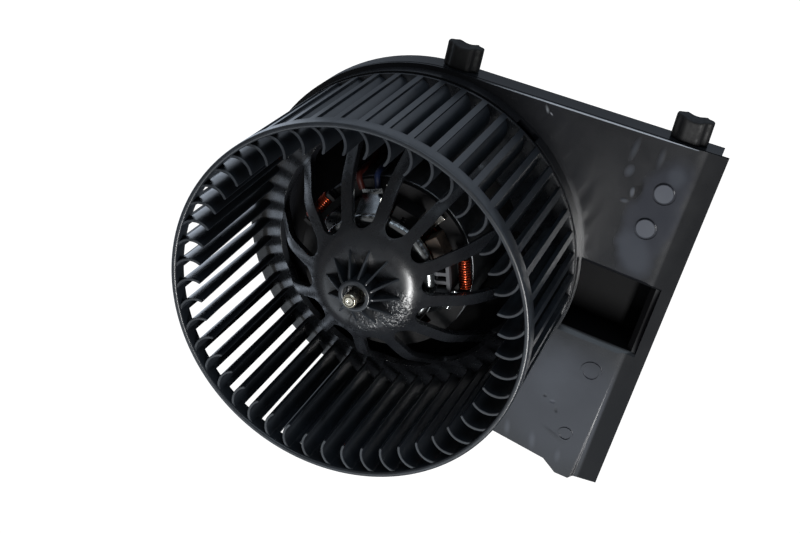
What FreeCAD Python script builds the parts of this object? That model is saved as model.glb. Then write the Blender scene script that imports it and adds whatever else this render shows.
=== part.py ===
import FreeCAD, Part
import math
import os

# A car cabin blower: a forward-curved wheel on a brushed motor that stands in a moulded base plate.
# The origin is on the wheel's axis, in the front face of the base plate.
# Z points along the axis to the open inlet, X to the straight right edge of the plate's wing,
# and Y to the plate's long edge, which carries the rubber buffers. All sizes are in millimetres.

Vec = FreeCAD.Vector
Z_AXIS = Vec(0, 0, 1)
ORIGIN = Vec(0, 0, 0)

# How far a cutting shape runs past the face that it cuts
overshoot = 1.0

# Shortest edge that an outline may have
smallest_edge = 1e-6

# Blower wheel: rim, blades and back disc
wheel_radius = 75.0
wheel_front_z = 84.0
wheel_back_z = 8.0
front_ring_height = 7.5
front_ring_wall = 2.2
front_ring_rounding = 0.8
blade_count = 48
blade_thickness = 1.15
blade_curve_radius = 7.65
blade_rim_gap = 0.6
blade_curve_rise = 6.6
blade_end_angle = 5.0
blade_depth_front = 12.8
blade_depth_back = 10.8
blade_land_width = 2.6
blade_land_depth = 2.2
blade_front_inset = 1.0
blade_phase = -0.4

# Blower wheel: hub dome, arms and boss
dome_wall = 2.4
cap_z = 61.5
cap_radius = 20.0
shoulder_radius = 40.9
shoulder_z = 44.2
skirt_foot_radius = 54.9
skirt_foot_z = 19.3
flare_radius = 63.0
flare_z = 13.0
disc_start_radius = 68.0
disc_wall = 1.6
disc_foot_inset = 1.0
cap_rounding = 7.0
shoulder_rounding = 34.0
foot_rounding = 9.0
flare_rounding = 6.0
arm_count = 12
arm_width = 5.0
arm_phase = 35.0
slot_inner_radius = 24.0
slot_outer_radius = 56.5
slot_inner_rounding = 3.6
slot_outer_rounding = 3.0
boss_radius = 6.8
boss_front_z = 72.0
boss_recess_radius = 4.7
boss_recess_depth = 5.0
sleeve_radius = 6.6
sleeve_back_z = 54.0
star_rib_reach = 16.5
star_rib_thickness = 1.1
star_rib_top_z = 70.5
star_rib_rounding = 1.0
boss_rib_overlap = 0.8

# Shaft and its end
shaft_radius = 3.0
shaft_front_z = 77.0
shaft_chamfer = 0.5
bearing_clearance = 0.03
shaft_pass_gap = 1.5
shaft_end_gap = 1.0

# Motor can and magnets
can_radius = 38.0
can_wall = 1.6
can_front_z = 33.0
can_back_z = -36.0
can_corner_rounding = 4.0
pocket_radius = 9.6
pocket_depth = 6.0
pocket_rounding = 1.0
vent_count = 4
vent_inner_radius = 15.0
vent_outer_radius = 27.0
vent_angle = 50.0
magnet_thickness = 7.4
magnet_angle = 128.0
magnet_back_z = -25.0
magnet_front_z = 19.0
fit_gap = 0.05

# Armature
air_gap = 0.8
core_back_z = -19.0
core_front_z = 13.0
core_slot_count = 12
core_slot_radius = 3.4
core_slot_pitch_radius = 20.5
core_slot_mouth = 2.2
winding_hub_gap = 1.5
winding_neck_wall = 1.5
winding_radius = 23.5
winding_height = 9.5
winding_rounding = 3.5
commutator_radius = 11.0
commutator_back_z = 27.0
commutator_front_z = 43.0
commutator_riser_radius = 13.0
commutator_riser_height = 3.0
commutator_bar_count = 12
commutator_groove_width = 0.7
commutator_groove_depth = 0.9
commutator_end_rounding = 0.5
washer_radius = 5.6
washer_thickness = 0.8

# Bearings and end bracket
bearing_radius = 8.0
bearing_length = 5.2
bearing_rounding = 1.6
bracket_front_z = 51.0
bracket_wall = 1.5
bracket_radius = 26.5
bracket_rim_depth = 4.0
bracket_rim_rounding = 3.0
bracket_bend_rounding = 1.0
bracket_cup_radius = 9.5
bracket_leg_count = 3
bracket_leg_phase = 114.0
bracket_leg_width = 9.0
bracket_leg_reach = 33.5
bracket_foot_length = 3.4
retainer_thickness = 0.7
retainer_notch_count = 6
retainer_notch_width = 1.4
retainer_rim_width = 2.0
retainer_bore_gap = 1.6

# Brush card with its holders, brushes and springs
card_thickness = 3.0
card_edge_inset = 0.4
card_spigot_wall = 2.0
card_spigot_depth = 2.5
card_hole_radius = 14.5
card_window_count = 4
card_window_phase = 125.0
card_window_inner = 19.0
card_window_outer = 31.0
card_window_angle = 44.0
brush_phase = 80.0
brush_width = 7.0
brush_height = 7.0
brush_length = 12.0
brush_tip_gap = 0.1
brush_tip_trim = 1.5
spring_end_gap = 0.1
holder_clearance = 0.1
holder_wall = 1.6
holder_floor = 1.5
holder_inner_radius = 15.0
holder_outer_radius = 31.5
holder_back_wall = 1.4
holder_slit_width = 1.8
holder_slit_inset = 3.0
spring_radius = 2.4
spring_wire_radius = 0.4
spring_turns = 5

# Suppression parts on the brush card
choke_length = 14.0
choke_radius = 2.85
choke_wire_radius = 0.6
choke_end_gap = 0.2
choke_core_radius = 1.7
choke_core_length = 17.0
choke_axis_radius = 36.2
choke_axis_z = 39.4
choke_angles = (19.0, 155.0)
cradle_thickness = 1.6
cradle_inner_reach = 3.0
cradle_outer_reach = 1.0
cradle_top_wall = 1.2
tower_angle = 19.0
tower_inner_radius = 24.8
tower_outer_radius = 32.0
tower_width = 12.5
tower_height = 11.0
tower_wall = 1.5
tower_floor = 1.5
tower_cell_count = 3
cutout_angle = 44.0
cutout_mid_radius = 28.5
cutout_length = 9.0
cutout_width = 5.6
cutout_height = 9.0
capacitor_angle = 148.0
capacitor_mid_radius = 25.5
capacitor_radius = 5.6
capacitor_height = 10.5
capacitor_rounding = 1.2
bar_width = 3.4
bar_thickness = 0.8
bar_angles = (60.0, 99.5)
bar_inner_radius = 23.0
bar_outer_radius = 36.8
bar_upright_height = 4.0

# Base plate outline
collar_step = 0.5
collar_outer_radius = wheel_radius + collar_step
plate_rim_width = 1.9
plate_radius = collar_outer_radius + plate_rim_width
plate_wall = 2.5
skirt_depth = 13.1
skirt_wall = 2.2
top_edge_tilt = 2.77
wing_right_x = 114.8
wing_bottom_y = -83.4
wing_bottom_tilt = -6.5
wing_bottom_inset = 71.3
wing_notch_x = 88.7
wing_tab_x = (95.8, 102.2)
wing_tab_drop = 1.6
flange_width = 12.5
flange_slope_width = 2.4
flange_step = 0.9
groove_top_z = -1.1
groove_width = 0.9
groove_depth = 0.8
collar_wall = 2.1
collar_height = 7.0
collar_window_angles = (58.0, 66.3)
collar_window_z = 1.6

# Cooling-air duct in the plate
duct_bottom_y = -14.5
duct_top_y = 17.7
duct_right_x = 109.7
duct_depth = 22.0
duct_wall = 2.0
duct_lip = 2.2
duct_right_slope = 4.5
duct_cup_overlap = 6.0
duct_collar_gap = 0.6

# Motor cup of the base plate
cup_inner_radius = 41.5
cup_wall = 2.5
cup_back_z = -46.0
cup_floor = 3.0
cup_rounding = 5.0
cup_mouth_radius = 39.2
back_rib_count = 12
back_rib_thickness = 1.8
back_rib_phase = 53.0
back_rib_gap_angle = 24.0
socket_gap_angle = 18.0

# Small features of the wing's face
pad_radius = 4.2
pad_height = 0.5
pad_recess_radius = 5.0
pad_recess_depth = 0.4
pad_centres = ((96.0, 59.8), (94.1, 42.7))
ring_mark_outer = 4.9
ring_mark_inner = 3.5
ring_mark_height = 0.45
ring_mark_centre = (94.8, -30.3)
small_ring_radius = 3.5
small_ring_wall = 0.8
small_ring_centre = (94.1, -65.2)

# Rubber buffers and their tabs
buffer_positions = (1.5, 101.0)
buffer_side_angle = 164.0
buffer_side_seat = 68.0
side_seat_margin = 1.5
buffer_height = 10.5
buffer_width = 15.6
buffer_core_width = 9.0
buffer_depth = 9.4
buffer_rib_depth = 5.0
buffer_mid_z = -7.6
buffer_saddle = 0.9
buffer_edge_rounding = 1.8
tab_width = 6.0
tab_thickness = 2.4
tab_height = 7.0

# Rubber isolators between the can and the cup
isolator_height = 6.0
isolator_notch_count = 4
isolator_notch_width = 9.0
isolator_pad_height = 3.0
seat_lip_reach = 9.0

# Leads and the plug socket
lead_radius = 1.3
lead_angles = (109.5, 121.5)
lead_start_radius = 34.0
lead_drop_radius = 40.6
lead_hole_radius = 47.5
lead_hole_clearance = 0.4
lead_bend_radius = 3.0
lead_sweep_radius = 12.0
lead_slope_top_z = 18.0
lead_slope_low_z = 2.0
lead_entry_z = -8.2
socket_angle = 115.5
socket_mid_radius = 60.0
socket_width = 19.0
socket_length = 13.0
socket_depth = 20.0
socket_wall = 1.6
socket_floor = 8.5
pin_width = 4.8
pin_thickness = 0.8
pin_spacing = 8.0
pin_length = 8.0


def polar(radius, angle, z=0.0):
    """Point at a radius and an angle in degrees about the wheel's axis."""
    turn = math.radians(angle)
    return Vec(radius * math.cos(turn), radius * math.sin(turn), z)


def turned(shape, angle):
    """Copy of a shape turned about the wheel's axis."""
    copy = shape.copy()
    copy.rotate(ORIGIN, Z_AXIS, angle)
    return copy


def placed(shape, radius, angle):
    """Copy of a shape modelled at the origin, moved out along +X and turned to an angle."""
    copy = shape.copy()
    copy.translate(Vec(radius, 0, 0))
    copy.rotate(ORIGIN, Z_AXIS, angle)
    return copy


def spread(count, phase=0.0):
    """Angles of a number of copies evenly spread about the axis."""
    return [phase + 360.0 * index / count for index in range(count)]


def tube(outer, inner, bottom, top):
    """Round wall between two radii and two heights."""
    base = Vec(0, 0, bottom)
    body = Part.makeCylinder(outer, top - bottom, base)
    return body.cut(Part.makeCylinder(inner, top - bottom, base))


def disc(radius, bottom, top):
    """Solid round between two heights."""
    return Part.makeCylinder(radius, top - bottom, Vec(0, 0, bottom))


def block(low, high):
    """Box between two opposite corners."""
    size = [b - a for a, b in zip(low, high)]
    return Part.makeBox(size[0], size[1], size[2], Vec(*low))


def corner_arc(before, corner, after, radius):
    """Start, middle and end of the arc that rounds one corner of an outline."""
    to_before = before.sub(corner).normalize()
    to_after = after.sub(corner).normalize()
    half = 0.5 * to_before.getAngle(to_after)
    reach = radius / math.tan(half)
    bisector = to_before.add(to_after).normalize()
    centre = corner.add(bisector * (radius / math.sin(half)))
    middle = centre.sub(bisector * radius)
    return corner.add(to_before * reach), middle, corner.add(to_after * reach)


def rounded_wire(corners, lift, closed=True):
    """Wire through corners given as (u, v, rounding radius); lift places a (u, v) pair in space."""
    points = [lift(u, v) for u, v, radius in corners]
    count = len(points)
    edges = []
    trail = None
    first = None
    for index, (u, v, radius) in enumerate(corners):
        inner = closed or 0 < index < count - 1
        if radius > 0 and inner:
            after = points[(index + 1) % count]
            start, middle, end = corner_arc(points[index - 1], points[index], after, radius)
        else:
            start, middle, end = points[index], None, points[index]
        if trail is not None and trail.distanceToPoint(start) > smallest_edge:
            edges.append(Part.LineSegment(trail, start).toShape())
        if middle is not None:
            edges.append(Part.Arc(start, middle, end).toShape())
        first = start if first is None else first
        trail = end
    if closed:
        edges.append(Part.LineSegment(trail, first).toShape())
    return Part.Wire(edges)


def flat(u, v):
    """Outline point in the XY plane."""
    return Vec(u, v, 0)


def upright(u, v):
    """Outline point in the XZ plane, with u as the radius."""
    return Vec(u, 0, v)


def turned_profile(corners):
    """Solid of revolution about the wheel's axis from a closed (radius, z, rounding) profile."""
    face = Part.Face(rounded_wire(corners, upright))
    return face.revolve(ORIGIN, Z_AXIS, 360)


def raised_outline(corners, bottom, top):
    """Prism from a closed (x, y, rounding) outline."""
    face = Part.Face(rounded_wire(corners, flat))
    face.translate(Vec(0, 0, bottom))
    return face.extrude(Vec(0, 0, top - bottom))


def offset_corners(corners, distance):
    """Corners of an open profile moved to its right-hand side by a wall thickness."""
    normals = []
    for (u0, v0, r0), (u1, v1, r1) in zip(corners, corners[1:]):
        length = math.hypot(u1 - u0, v1 - v0)
        normals.append(((v1 - v0) / length, -(u1 - u0) / length))
    result = []
    for index, (u, v, radius) in enumerate(corners):
        before = normals[max(index - 1, 0)]
        after = normals[min(index, len(normals) - 1)]
        scale = distance / (1.0 + before[0] * after[0] + before[1] * after[1])
        bend = before[0] * after[1] - before[1] * after[0]
        inner = radius - distance if bend < 0 else radius + distance
        inner = max(inner, 0.0) if radius > 0 else 0.0
        result.append((u + scale * (before[0] + after[0]), v + scale * (before[1] + after[1]), inner))
    return result


def fused(shapes):
    """One solid from several shapes that overlap or share a face."""
    body = shapes[0].multiFuse(shapes[1:])
    return body.removeSplitter()


def single(shape):
    """The one solid of a shape."""
    return shape.Solids[0] if len(shape.Solids) == 1 else shape


# Blower wheel

def blade_curve_centre():
    """Centre of a blade's curve, so far inside the rim that the blade runs out along it."""
    reach = (blade_curve_radius + blade_thickness / 2) * math.cos(math.radians(blade_end_angle))
    return Vec(wheel_radius - blade_rim_gap - reach, blade_curve_rise, 0)


def blade_profile():
    """Curved blade section in the XY plane, with its tip near the +X axis."""
    centre = blade_curve_centre()
    inner = blade_curve_radius - blade_thickness / 2
    outer = blade_curve_radius + blade_thickness / 2
    tip_reach = wheel_radius - blade_depth_front - blade_thickness
    start = math.atan2(-blade_curve_rise, tip_reach - centre.x)
    end = -math.radians(blade_end_angle)
    middle = 0.5 * (start + end)

    def at(radius, angle):
        return centre.add(Vec(radius * math.cos(angle), radius * math.sin(angle), 0))

    edges = [
        Part.Arc(at(outer, start), at(outer, middle), at(outer, end)).toShape(),
        Part.LineSegment(at(outer, end), at(inner, end)).toShape(),
        Part.Arc(at(inner, end), at(inner, middle), at(inner, start)).toShape(),
        Part.LineSegment(at(inner, start), at(outer, start)).toShape(),
    ]
    return Part.Face(Part.Wire(edges))


def blade_land(foot_z, top_z):
    """Flat outer edge of a blade, flush with the rim."""
    ring = tube(wheel_radius, wheel_radius - blade_land_depth, foot_z, top_z)
    width = math.degrees(blade_land_width / wheel_radius)
    centre = blade_curve_centre()
    end = math.radians(blade_end_angle)
    outer = blade_curve_radius + blade_thickness / 2
    edge = math.atan2(centre.y - outer * math.sin(end), centre.x + outer * math.cos(end))
    return turned(sector(ring, wheel_radius, width), math.degrees(edge) - width / 2)


def blade():
    """One blade, with its inner edge drafted towards the inlet and a flat land at its outer edge."""
    foot_z = wheel_back_z + disc_wall / 2
    top_z = wheel_front_z - blade_front_inset
    face = blade_profile()
    face.translate(Vec(0, 0, foot_z))
    body = face.extrude(Vec(0, 0, top_z - foot_z))
    slope = (blade_depth_front - blade_depth_back) / (top_z - wheel_back_z)
    low_radius = wheel_radius - blade_depth_back - slope * (foot_z - overshoot - wheel_back_z)
    high_radius = wheel_radius - blade_depth_front - slope * overshoot
    core_low = Vec(0, 0, foot_z - overshoot)
    core = Part.makeCone(low_radius, high_radius, top_z - foot_z + 2 * overshoot, core_low)
    return body.cut(core).fuse(blade_land(foot_z, top_z)).removeSplitter()


def dome_corners():
    """Outer profile of the hub dome from the cap to the rim of the back disc."""
    disc_top = wheel_back_z + disc_wall
    return [
        (0.0, cap_z, 0),
        (cap_radius, cap_z, cap_rounding),
        (shoulder_radius, shoulder_z, shoulder_rounding),
        (skirt_foot_radius, skirt_foot_z, foot_rounding),
        (flare_radius, flare_z, flare_rounding),
        (disc_start_radius, disc_top, 0),
        (wheel_radius, disc_top, 0),
    ]


def dome_shell():
    """Hub dome and back disc as one turned shell, before the slots are cut."""
    outer = dome_corners()
    inner = offset_corners(outer[:5], dome_wall)
    inner[0] = (0.0, cap_z - dome_wall, 0)
    rim = [(wheel_radius, wheel_back_z, 0), (disc_start_radius - disc_foot_inset, wheel_back_z, 0)]
    return turned_profile(outer + rim + inner[::-1])


def arm_slot():
    """Opening between two arms, along +X, with a U-shaped inner end."""
    half_pitch = math.pi / arm_count

    def half_width(reach):
        return reach * math.tan(half_pitch) - arm_width / (2 * math.cos(half_pitch))

    inner = slot_inner_radius
    outer = slot_outer_radius
    corners = [
        (inner, -half_width(inner), slot_inner_rounding),
        (outer, -half_width(outer), slot_outer_rounding),
        (outer, half_width(outer), slot_outer_rounding),
        (inner, half_width(inner), slot_inner_rounding),
    ]
    low = wheel_back_z - overshoot
    high = cap_z + overshoot
    return raised_outline(corners, low, high).common(disc(slot_outer_radius, low, high))


def star_rib():
    """Thin web that ties the boss to the cap over one arm."""
    root = boss_recess_radius + boss_rib_overlap
    corners = [
        (root, cap_z - dome_wall / 2, 0),
        (star_rib_reach, cap_z - dome_wall / 2, 0),
        (star_rib_reach, cap_z, 0),
        (boss_radius + boss_rib_overlap, star_rib_top_z, star_rib_rounding),
        (root, star_rib_top_z, 0),
    ]
    face = Part.Face(rounded_wire(corners, upright))
    face.translate(Vec(0, -star_rib_thickness / 2, 0))
    return face.extrude(Vec(0, star_rib_thickness, 0))


def make_blower_wheel():
    """Wheel moulded in one: ring, blades, back disc and slotted dome hub with its boss."""
    ring_corners = [
        (wheel_radius, wheel_front_z - front_ring_height, 0),
        (wheel_radius, wheel_front_z, front_ring_rounding),
        (wheel_radius - front_ring_wall, wheel_front_z, front_ring_rounding),
        (wheel_radius - front_ring_wall, wheel_front_z - front_ring_height, 0),
    ]
    ring = turned_profile(ring_corners)
    dome = dome_shell()
    slot = arm_slot()
    slots = [turned(slot, angle) for angle in spread(arm_count, arm_phase + 180.0 / arm_count)]
    dome = dome.cut(Part.makeCompound(slots))
    boss = disc(boss_radius, cap_z - dome_wall, boss_front_z)
    sleeve = disc(sleeve_radius, sleeve_back_z, cap_z - dome_wall / 2)
    rib = star_rib()
    ribs = [turned(rib, angle) for angle in spread(arm_count, arm_phase)]
    hub = fused([dome, boss, sleeve] + ribs)
    hub = hub.cut(disc(boss_recess_radius, boss_front_z - boss_recess_depth, boss_front_z + overshoot))
    hub = hub.cut(disc(shaft_radius + fit_gap, sleeve_back_z - overshoot, boss_front_z))
    one = blade()
    blades = [turned(one, angle) for angle in spread(blade_count, blade_phase)]
    return single(fused([hub, ring] + blades))


# Rotor

def make_motor_shaft():
    """Ground shaft that carries the armature and the wheel."""
    back_z = can_back_z - pocket_depth + can_wall + shaft_end_gap
    corners = [
        (0, back_z, 0),
        (shaft_radius, back_z, 0),
        (shaft_radius, shaft_front_z - shaft_chamfer, 0),
        (shaft_radius - shaft_chamfer, shaft_front_z, 0),
        (0, shaft_front_z, 0),
    ]
    return turned_profile(corners)


def magnet_inner_radius():
    """Radius of the magnets' bore."""
    return can_radius - can_wall - fit_gap - magnet_thickness


def core_radius():
    """Radius of the armature's steel core."""
    return magnet_inner_radius() - air_gap


def make_armature_core():
    """Slotted steel core of the armature."""
    core = tube(core_radius(), shaft_radius + fit_gap, core_back_z, core_front_z)
    low = core_back_z - overshoot
    height = core_front_z - low + overshoot
    slots = []
    for angle in spread(core_slot_count):
        well = Part.makeCylinder(core_slot_radius, height, polar(core_slot_pitch_radius, 0, low))
        mouth = block((core_slot_pitch_radius, -core_slot_mouth / 2, low),
                      (core_radius() + overshoot, core_slot_mouth / 2, low + height))
        slots.append(turned(well.fuse(mouth), angle))
    return single(core.cut(Part.makeCompound(slots)))


def make_armature_windings():
    """Copper of the armature: end turns, slot bars and the neck to the commutator."""
    gap = fit_gap
    front_top = core_front_z + gap + winding_height
    back_low = core_back_z - gap - winding_height
    hub = shaft_radius + winding_hub_gap

    def bundle(inner_z, outer_z):
        """Ring of end turns between two heights, rounded at its outer end."""
        corners = [
            (hub, inner_z, 0),
            (winding_radius, inner_z, 0),
            (winding_radius, outer_z, winding_rounding),
            (hub, outer_z, 0),
        ]
        return turned_profile(corners)

    front = bundle(core_front_z + gap, front_top)
    back = bundle(core_back_z - gap, back_low)
    neck = tube(commutator_riser_radius - winding_neck_wall, hub, front_top - overshoot, commutator_back_z)
    bars = []
    for angle in spread(core_slot_count):
        bar = Part.makeCylinder(core_slot_radius - gap, front_top - back_low - winding_height,
                                polar(core_slot_pitch_radius, angle, back_low + winding_height / 2))
        bars.append(bar)
    return single(fused([front, back, neck] + bars))


def make_commutator():
    """Copper commutator with its riser and the grooves between its bars."""
    riser_top = commutator_back_z + commutator_riser_height
    corners = [
        (shaft_radius + fit_gap, commutator_back_z, 0),
        (commutator_riser_radius, commutator_back_z, 0),
        (commutator_riser_radius, riser_top, 0),
        (commutator_radius, riser_top, 0),
        (commutator_radius, commutator_front_z, commutator_end_rounding),
        (shaft_radius + fit_gap, commutator_front_z, 0),
    ]
    body = turned_profile(corners)
    grooves = []
    for angle in spread(commutator_bar_count, 180.0 / commutator_bar_count):
        half = commutator_groove_width / 2
        groove = block((commutator_radius - commutator_groove_depth, -half, commutator_back_z - overshoot),
                       (commutator_riser_radius + overshoot, half, commutator_front_z + overshoot))
        grooves.append(turned(groove, angle))
    return single(body.cut(Part.makeCompound(grooves)))


def make_thrust_washer():
    """Washer between the commutator and the front bearing."""
    low = commutator_front_z
    return tube(washer_radius, shaft_radius + fit_gap, low, low + washer_thickness)


# Bearings, retainers and end bracket

def bearing_front_z():
    """Height of the bracket's inner face, which the front bearing bears on."""
    return bracket_front_z - bracket_wall


def bearing(bottom):
    """Plain bearing with rounded ends, standing on a height."""
    bore = shaft_radius + bearing_clearance
    corners = [
        (bore, bottom, 0),
        (bearing_radius, bottom, bearing_rounding),
        (bearing_radius, bottom + bearing_length, bearing_rounding),
        (bore, bottom + bearing_length, 0),
    ]
    return turned_profile(corners)


def make_front_bearing():
    """Bearing in the end bracket."""
    return bearing(bearing_front_z() - bearing_length)


def make_rear_bearing():
    """Bearing in the can's rear pocket."""
    return bearing(can_back_z - pocket_depth + can_wall)


def retainer(bottom):
    """Toothed spring ring that presses a bearing into its seat."""
    top = bottom + retainer_thickness
    half = retainer_notch_width / 2
    ring = tube(bearing_radius, shaft_radius + retainer_bore_gap, bottom, top)
    notch = block((shaft_radius, -half, bottom - overshoot),
                  (bearing_radius - retainer_rim_width, half, top + overshoot))
    notches = [turned(notch, angle) for angle in spread(retainer_notch_count)]
    return single(ring.cut(Part.makeCompound(notches)))


def make_rear_bearing_retainer():
    """Spring ring behind the rear bearing."""
    return retainer(can_back_z - pocket_depth + can_wall + bearing_length)


def leg_profile():
    """Section of one bracket leg in the XZ plane, from the bracket's rim to its foot on the card."""
    card_top = card_top_z()
    rim = bracket_radius - bracket_wall
    heel_z = card_top + bracket_wall
    rim_low = bracket_front_z - bracket_rim_depth
    outer = [
        (rim, rim_low, 0),
        (rim, bracket_front_z - bracket_rim_rounding, 0),
        (bracket_radius, bracket_front_z - bracket_rim_rounding, 0),
        (bracket_leg_reach - bracket_foot_length + bracket_wall, heel_z, bracket_bend_rounding),
        (bracket_leg_reach, heel_z, 0),
        (bracket_leg_reach, card_top, 0),
        (bracket_leg_reach - bracket_foot_length, card_top, bracket_bend_rounding),
    ]
    return Part.Face(rounded_wire(outer, upright))


def make_end_bracket():
    """Pressed steel dish over the brush gear, with a rounded rim, a bearing cup and legs to the card."""
    inner_z = bearing_front_z()
    rim_low = bracket_front_z - bracket_rim_depth
    corners = [
        (shaft_radius + shaft_pass_gap, inner_z, 0),
        (shaft_radius + shaft_pass_gap, bracket_front_z, 0),
        (bracket_radius, bracket_front_z, bracket_rim_rounding),
        (bracket_radius, rim_low, 0),
        (bracket_radius - bracket_wall, rim_low, 0),
        (bracket_radius - bracket_wall, inner_z, bracket_rim_rounding - bracket_wall),
    ]
    dish = turned_profile(corners)
    cup = tube(bracket_cup_radius, bearing_radius + fit_gap, inner_z - bearing_length, inner_z)
    leg = leg_profile()
    leg.translate(Vec(0, -bracket_leg_width / 2, 0))
    leg = leg.extrude(Vec(0, bracket_leg_width, 0))
    legs = [turned(leg, angle) for angle in spread(bracket_leg_count, bracket_leg_phase)]
    return single(fused([dish, cup] + legs))


# Motor can and magnets

def make_motor_can():
    """Drawn steel can with a bearing pocket and cooling vents in its floor."""
    inner = can_radius - can_wall
    pocket_back = can_back_z - pocket_depth
    corners = [
        (0, pocket_back, 0),
        (pocket_radius, pocket_back, pocket_rounding),
        (pocket_radius, can_back_z, 0),
        (can_radius, can_back_z, can_corner_rounding),
        (can_radius, can_front_z, 0),
        (inner, can_front_z, 0),
        (inner, can_back_z + can_wall, can_corner_rounding - can_wall),
        (bearing_radius + fit_gap, can_back_z + can_wall, 0),
        (bearing_radius + fit_gap, pocket_back + can_wall, 0),
        (0, pocket_back + can_wall, 0),
    ]
    can = turned_profile(corners)
    floor_top = can_back_z + can_wall
    wedge = tube(vent_outer_radius, vent_inner_radius, can_back_z - overshoot, floor_top + overshoot)
    vents = [turned(sector(wedge, vent_outer_radius, vent_angle), angle) for angle in spread(vent_count)]
    return single(can.cut(Part.makeCompound(vents)))


def sector(ring, radius, angle):
    """Part of a round wall within an angle about the +X axis."""
    box = ring.BoundBox
    face = Part.Face(Part.Wire([
        Part.LineSegment(Vec(0, 0, box.ZMin), polar(2 * radius, -angle / 2, box.ZMin)).toShape(),
        Part.Arc(polar(2 * radius, -angle / 2, box.ZMin), polar(2 * radius, 0, box.ZMin),
                 polar(2 * radius, angle / 2, box.ZMin)).toShape(),
        Part.LineSegment(polar(2 * radius, angle / 2, box.ZMin), Vec(0, 0, box.ZMin)).toShape(),
    ]))
    return ring.common(face.extrude(Vec(0, 0, box.ZLength)))


def make_magnet(angle):
    """Curved field magnet that fits the can's wall."""
    outer = can_radius - can_wall - fit_gap
    ring = tube(outer, outer - magnet_thickness, magnet_back_z, magnet_front_z)
    return single(turned(sector(ring, outer, magnet_angle), angle))


# Brush card and what it carries

def card_top_z():
    """Height of the brush card's upper face."""
    return can_front_z + card_thickness


def brush_mid_z():
    """Height of the brushes' middle."""
    return card_top_z() + holder_floor + holder_clearance + brush_height / 2


def holder():
    """Square tube that guides one brush, along +X."""
    half = brush_width / 2 + holder_clearance + holder_wall
    passage = brush_width / 2 + holder_clearance
    top = brush_mid_z() + brush_height / 2 + holder_clearance + holder_wall
    body = block((holder_inner_radius, -half, card_top_z()), (holder_outer_radius, half, top))
    channel = block((holder_inner_radius - overshoot, -passage, card_top_z() + holder_floor),
                    (holder_outer_radius - holder_back_wall, passage, top - holder_wall))
    slit_half = holder_slit_width / 2
    slit_low = top - holder_wall - overshoot
    slit = block((holder_inner_radius + holder_slit_inset, -slit_half, slit_low),
                 (holder_outer_radius - holder_slit_inset, slit_half, top + overshoot))
    return body.cut(channel).cut(slit)


def choke_cradle():
    """Pair of cheeks that hold a choke by the ends of its core."""
    cheeks = []
    half = choke_length / 2 + choke_end_gap
    top = choke_axis_z + choke_core_radius + cradle_top_wall
    for side in (-1, 1):
        low = min(side * half, side * (half + cradle_thickness))
        cheek = block((choke_axis_radius - cradle_inner_reach, low, card_top_z()),
                      (choke_axis_radius + cradle_outer_reach, low + cradle_thickness, top))
        cheeks.append(cheek)
    bore_start = Vec(choke_axis_radius, -2 * half, choke_axis_z)
    bore = Part.makeCylinder(choke_core_radius + fit_gap, 4 * half, bore_start, Vec(0, 1, 0))
    return Part.makeCompound(cheeks).cut(bore)


def terminal_frame():
    """Rectangular open frame beside the right-hand choke, with cross bars between its cells."""
    half = tower_width / 2
    top = card_top_z() + tower_height
    body = block((tower_inner_radius, -half, card_top_z()), (tower_outer_radius, half, top))
    pitch = (tower_width - tower_wall) / tower_cell_count
    for index in range(tower_cell_count):
        low = -half + tower_wall + index * pitch
        cell = block((tower_inner_radius + tower_wall, low, card_top_z() + tower_floor),
                     (tower_outer_radius - tower_wall, low + pitch - tower_wall, top + overshoot))
        body = body.cut(cell)
    return body


def make_brush_card():
    """Moulded card that closes the can and carries the brush gear."""
    plate = tube(can_radius - card_edge_inset, card_hole_radius, can_front_z, card_top_z())
    spigot_outer = can_radius - can_wall - fit_gap
    spigot_low = can_front_z - card_spigot_depth
    spigot = tube(spigot_outer, spigot_outer - card_spigot_wall, spigot_low, can_front_z)
    low = can_front_z - overshoot
    ring = tube(card_window_outer, card_window_inner, low, card_top_z() + overshoot)
    window = sector(ring, card_window_outer, card_window_angle)
    windows = [turned(window, angle) for angle in spread(card_window_count, card_window_phase)]
    plate = plate.cut(Part.makeCompound(windows))
    holders = [turned(holder(), angle) for angle in spread(2, brush_phase)]
    cradle_solids = []
    for angle in choke_angles:
        cradle_solids += [turned(cheek, angle) for cheek in choke_cradle().Solids]
    tower = turned(terminal_frame(), tower_angle)
    return single(fused([plate, spigot, tower] + holders + cradle_solids))


def make_carbon_brush(angle):
    """Carbon brush whose end follows the commutator."""
    tip = commutator_radius + brush_tip_gap
    low = brush_mid_z() - brush_height / 2
    half = brush_width / 2
    body = block((tip - brush_tip_trim, -half, low), (tip + brush_length, half, low + brush_height))
    body = body.cut(disc(tip, low - overshoot, low + brush_height + overshoot))
    return single(turned(body, angle))


def make_brush_spring(angle):
    """Coil spring that pushes one brush inwards."""
    start = commutator_radius + brush_tip_gap + brush_length + spring_wire_radius + spring_end_gap
    end = holder_outer_radius - holder_back_wall - spring_wire_radius - spring_end_gap
    pitch = (end - start) / spring_turns
    path = Part.makeHelix(pitch, end - start, spring_radius)
    ring = Part.Wire(Part.makeCircle(spring_wire_radius, Vec(spring_radius, 0, 0), Vec(0, 1, 0)))
    coil = Part.Wire(path).makePipeShell([ring], True, True)
    coil.rotate(ORIGIN, Vec(0, 1, 0), 90)
    coil.translate(Vec(start, 0, brush_mid_z()))
    return single(turned(coil, angle))


def make_choke_core(angle):
    """Ferrite rod of one choke."""
    core = Part.makeCylinder(choke_core_radius, choke_core_length,
                             Vec(choke_axis_radius, -choke_core_length / 2, choke_axis_z), Vec(0, 1, 0))
    return turned(core, angle)


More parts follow.
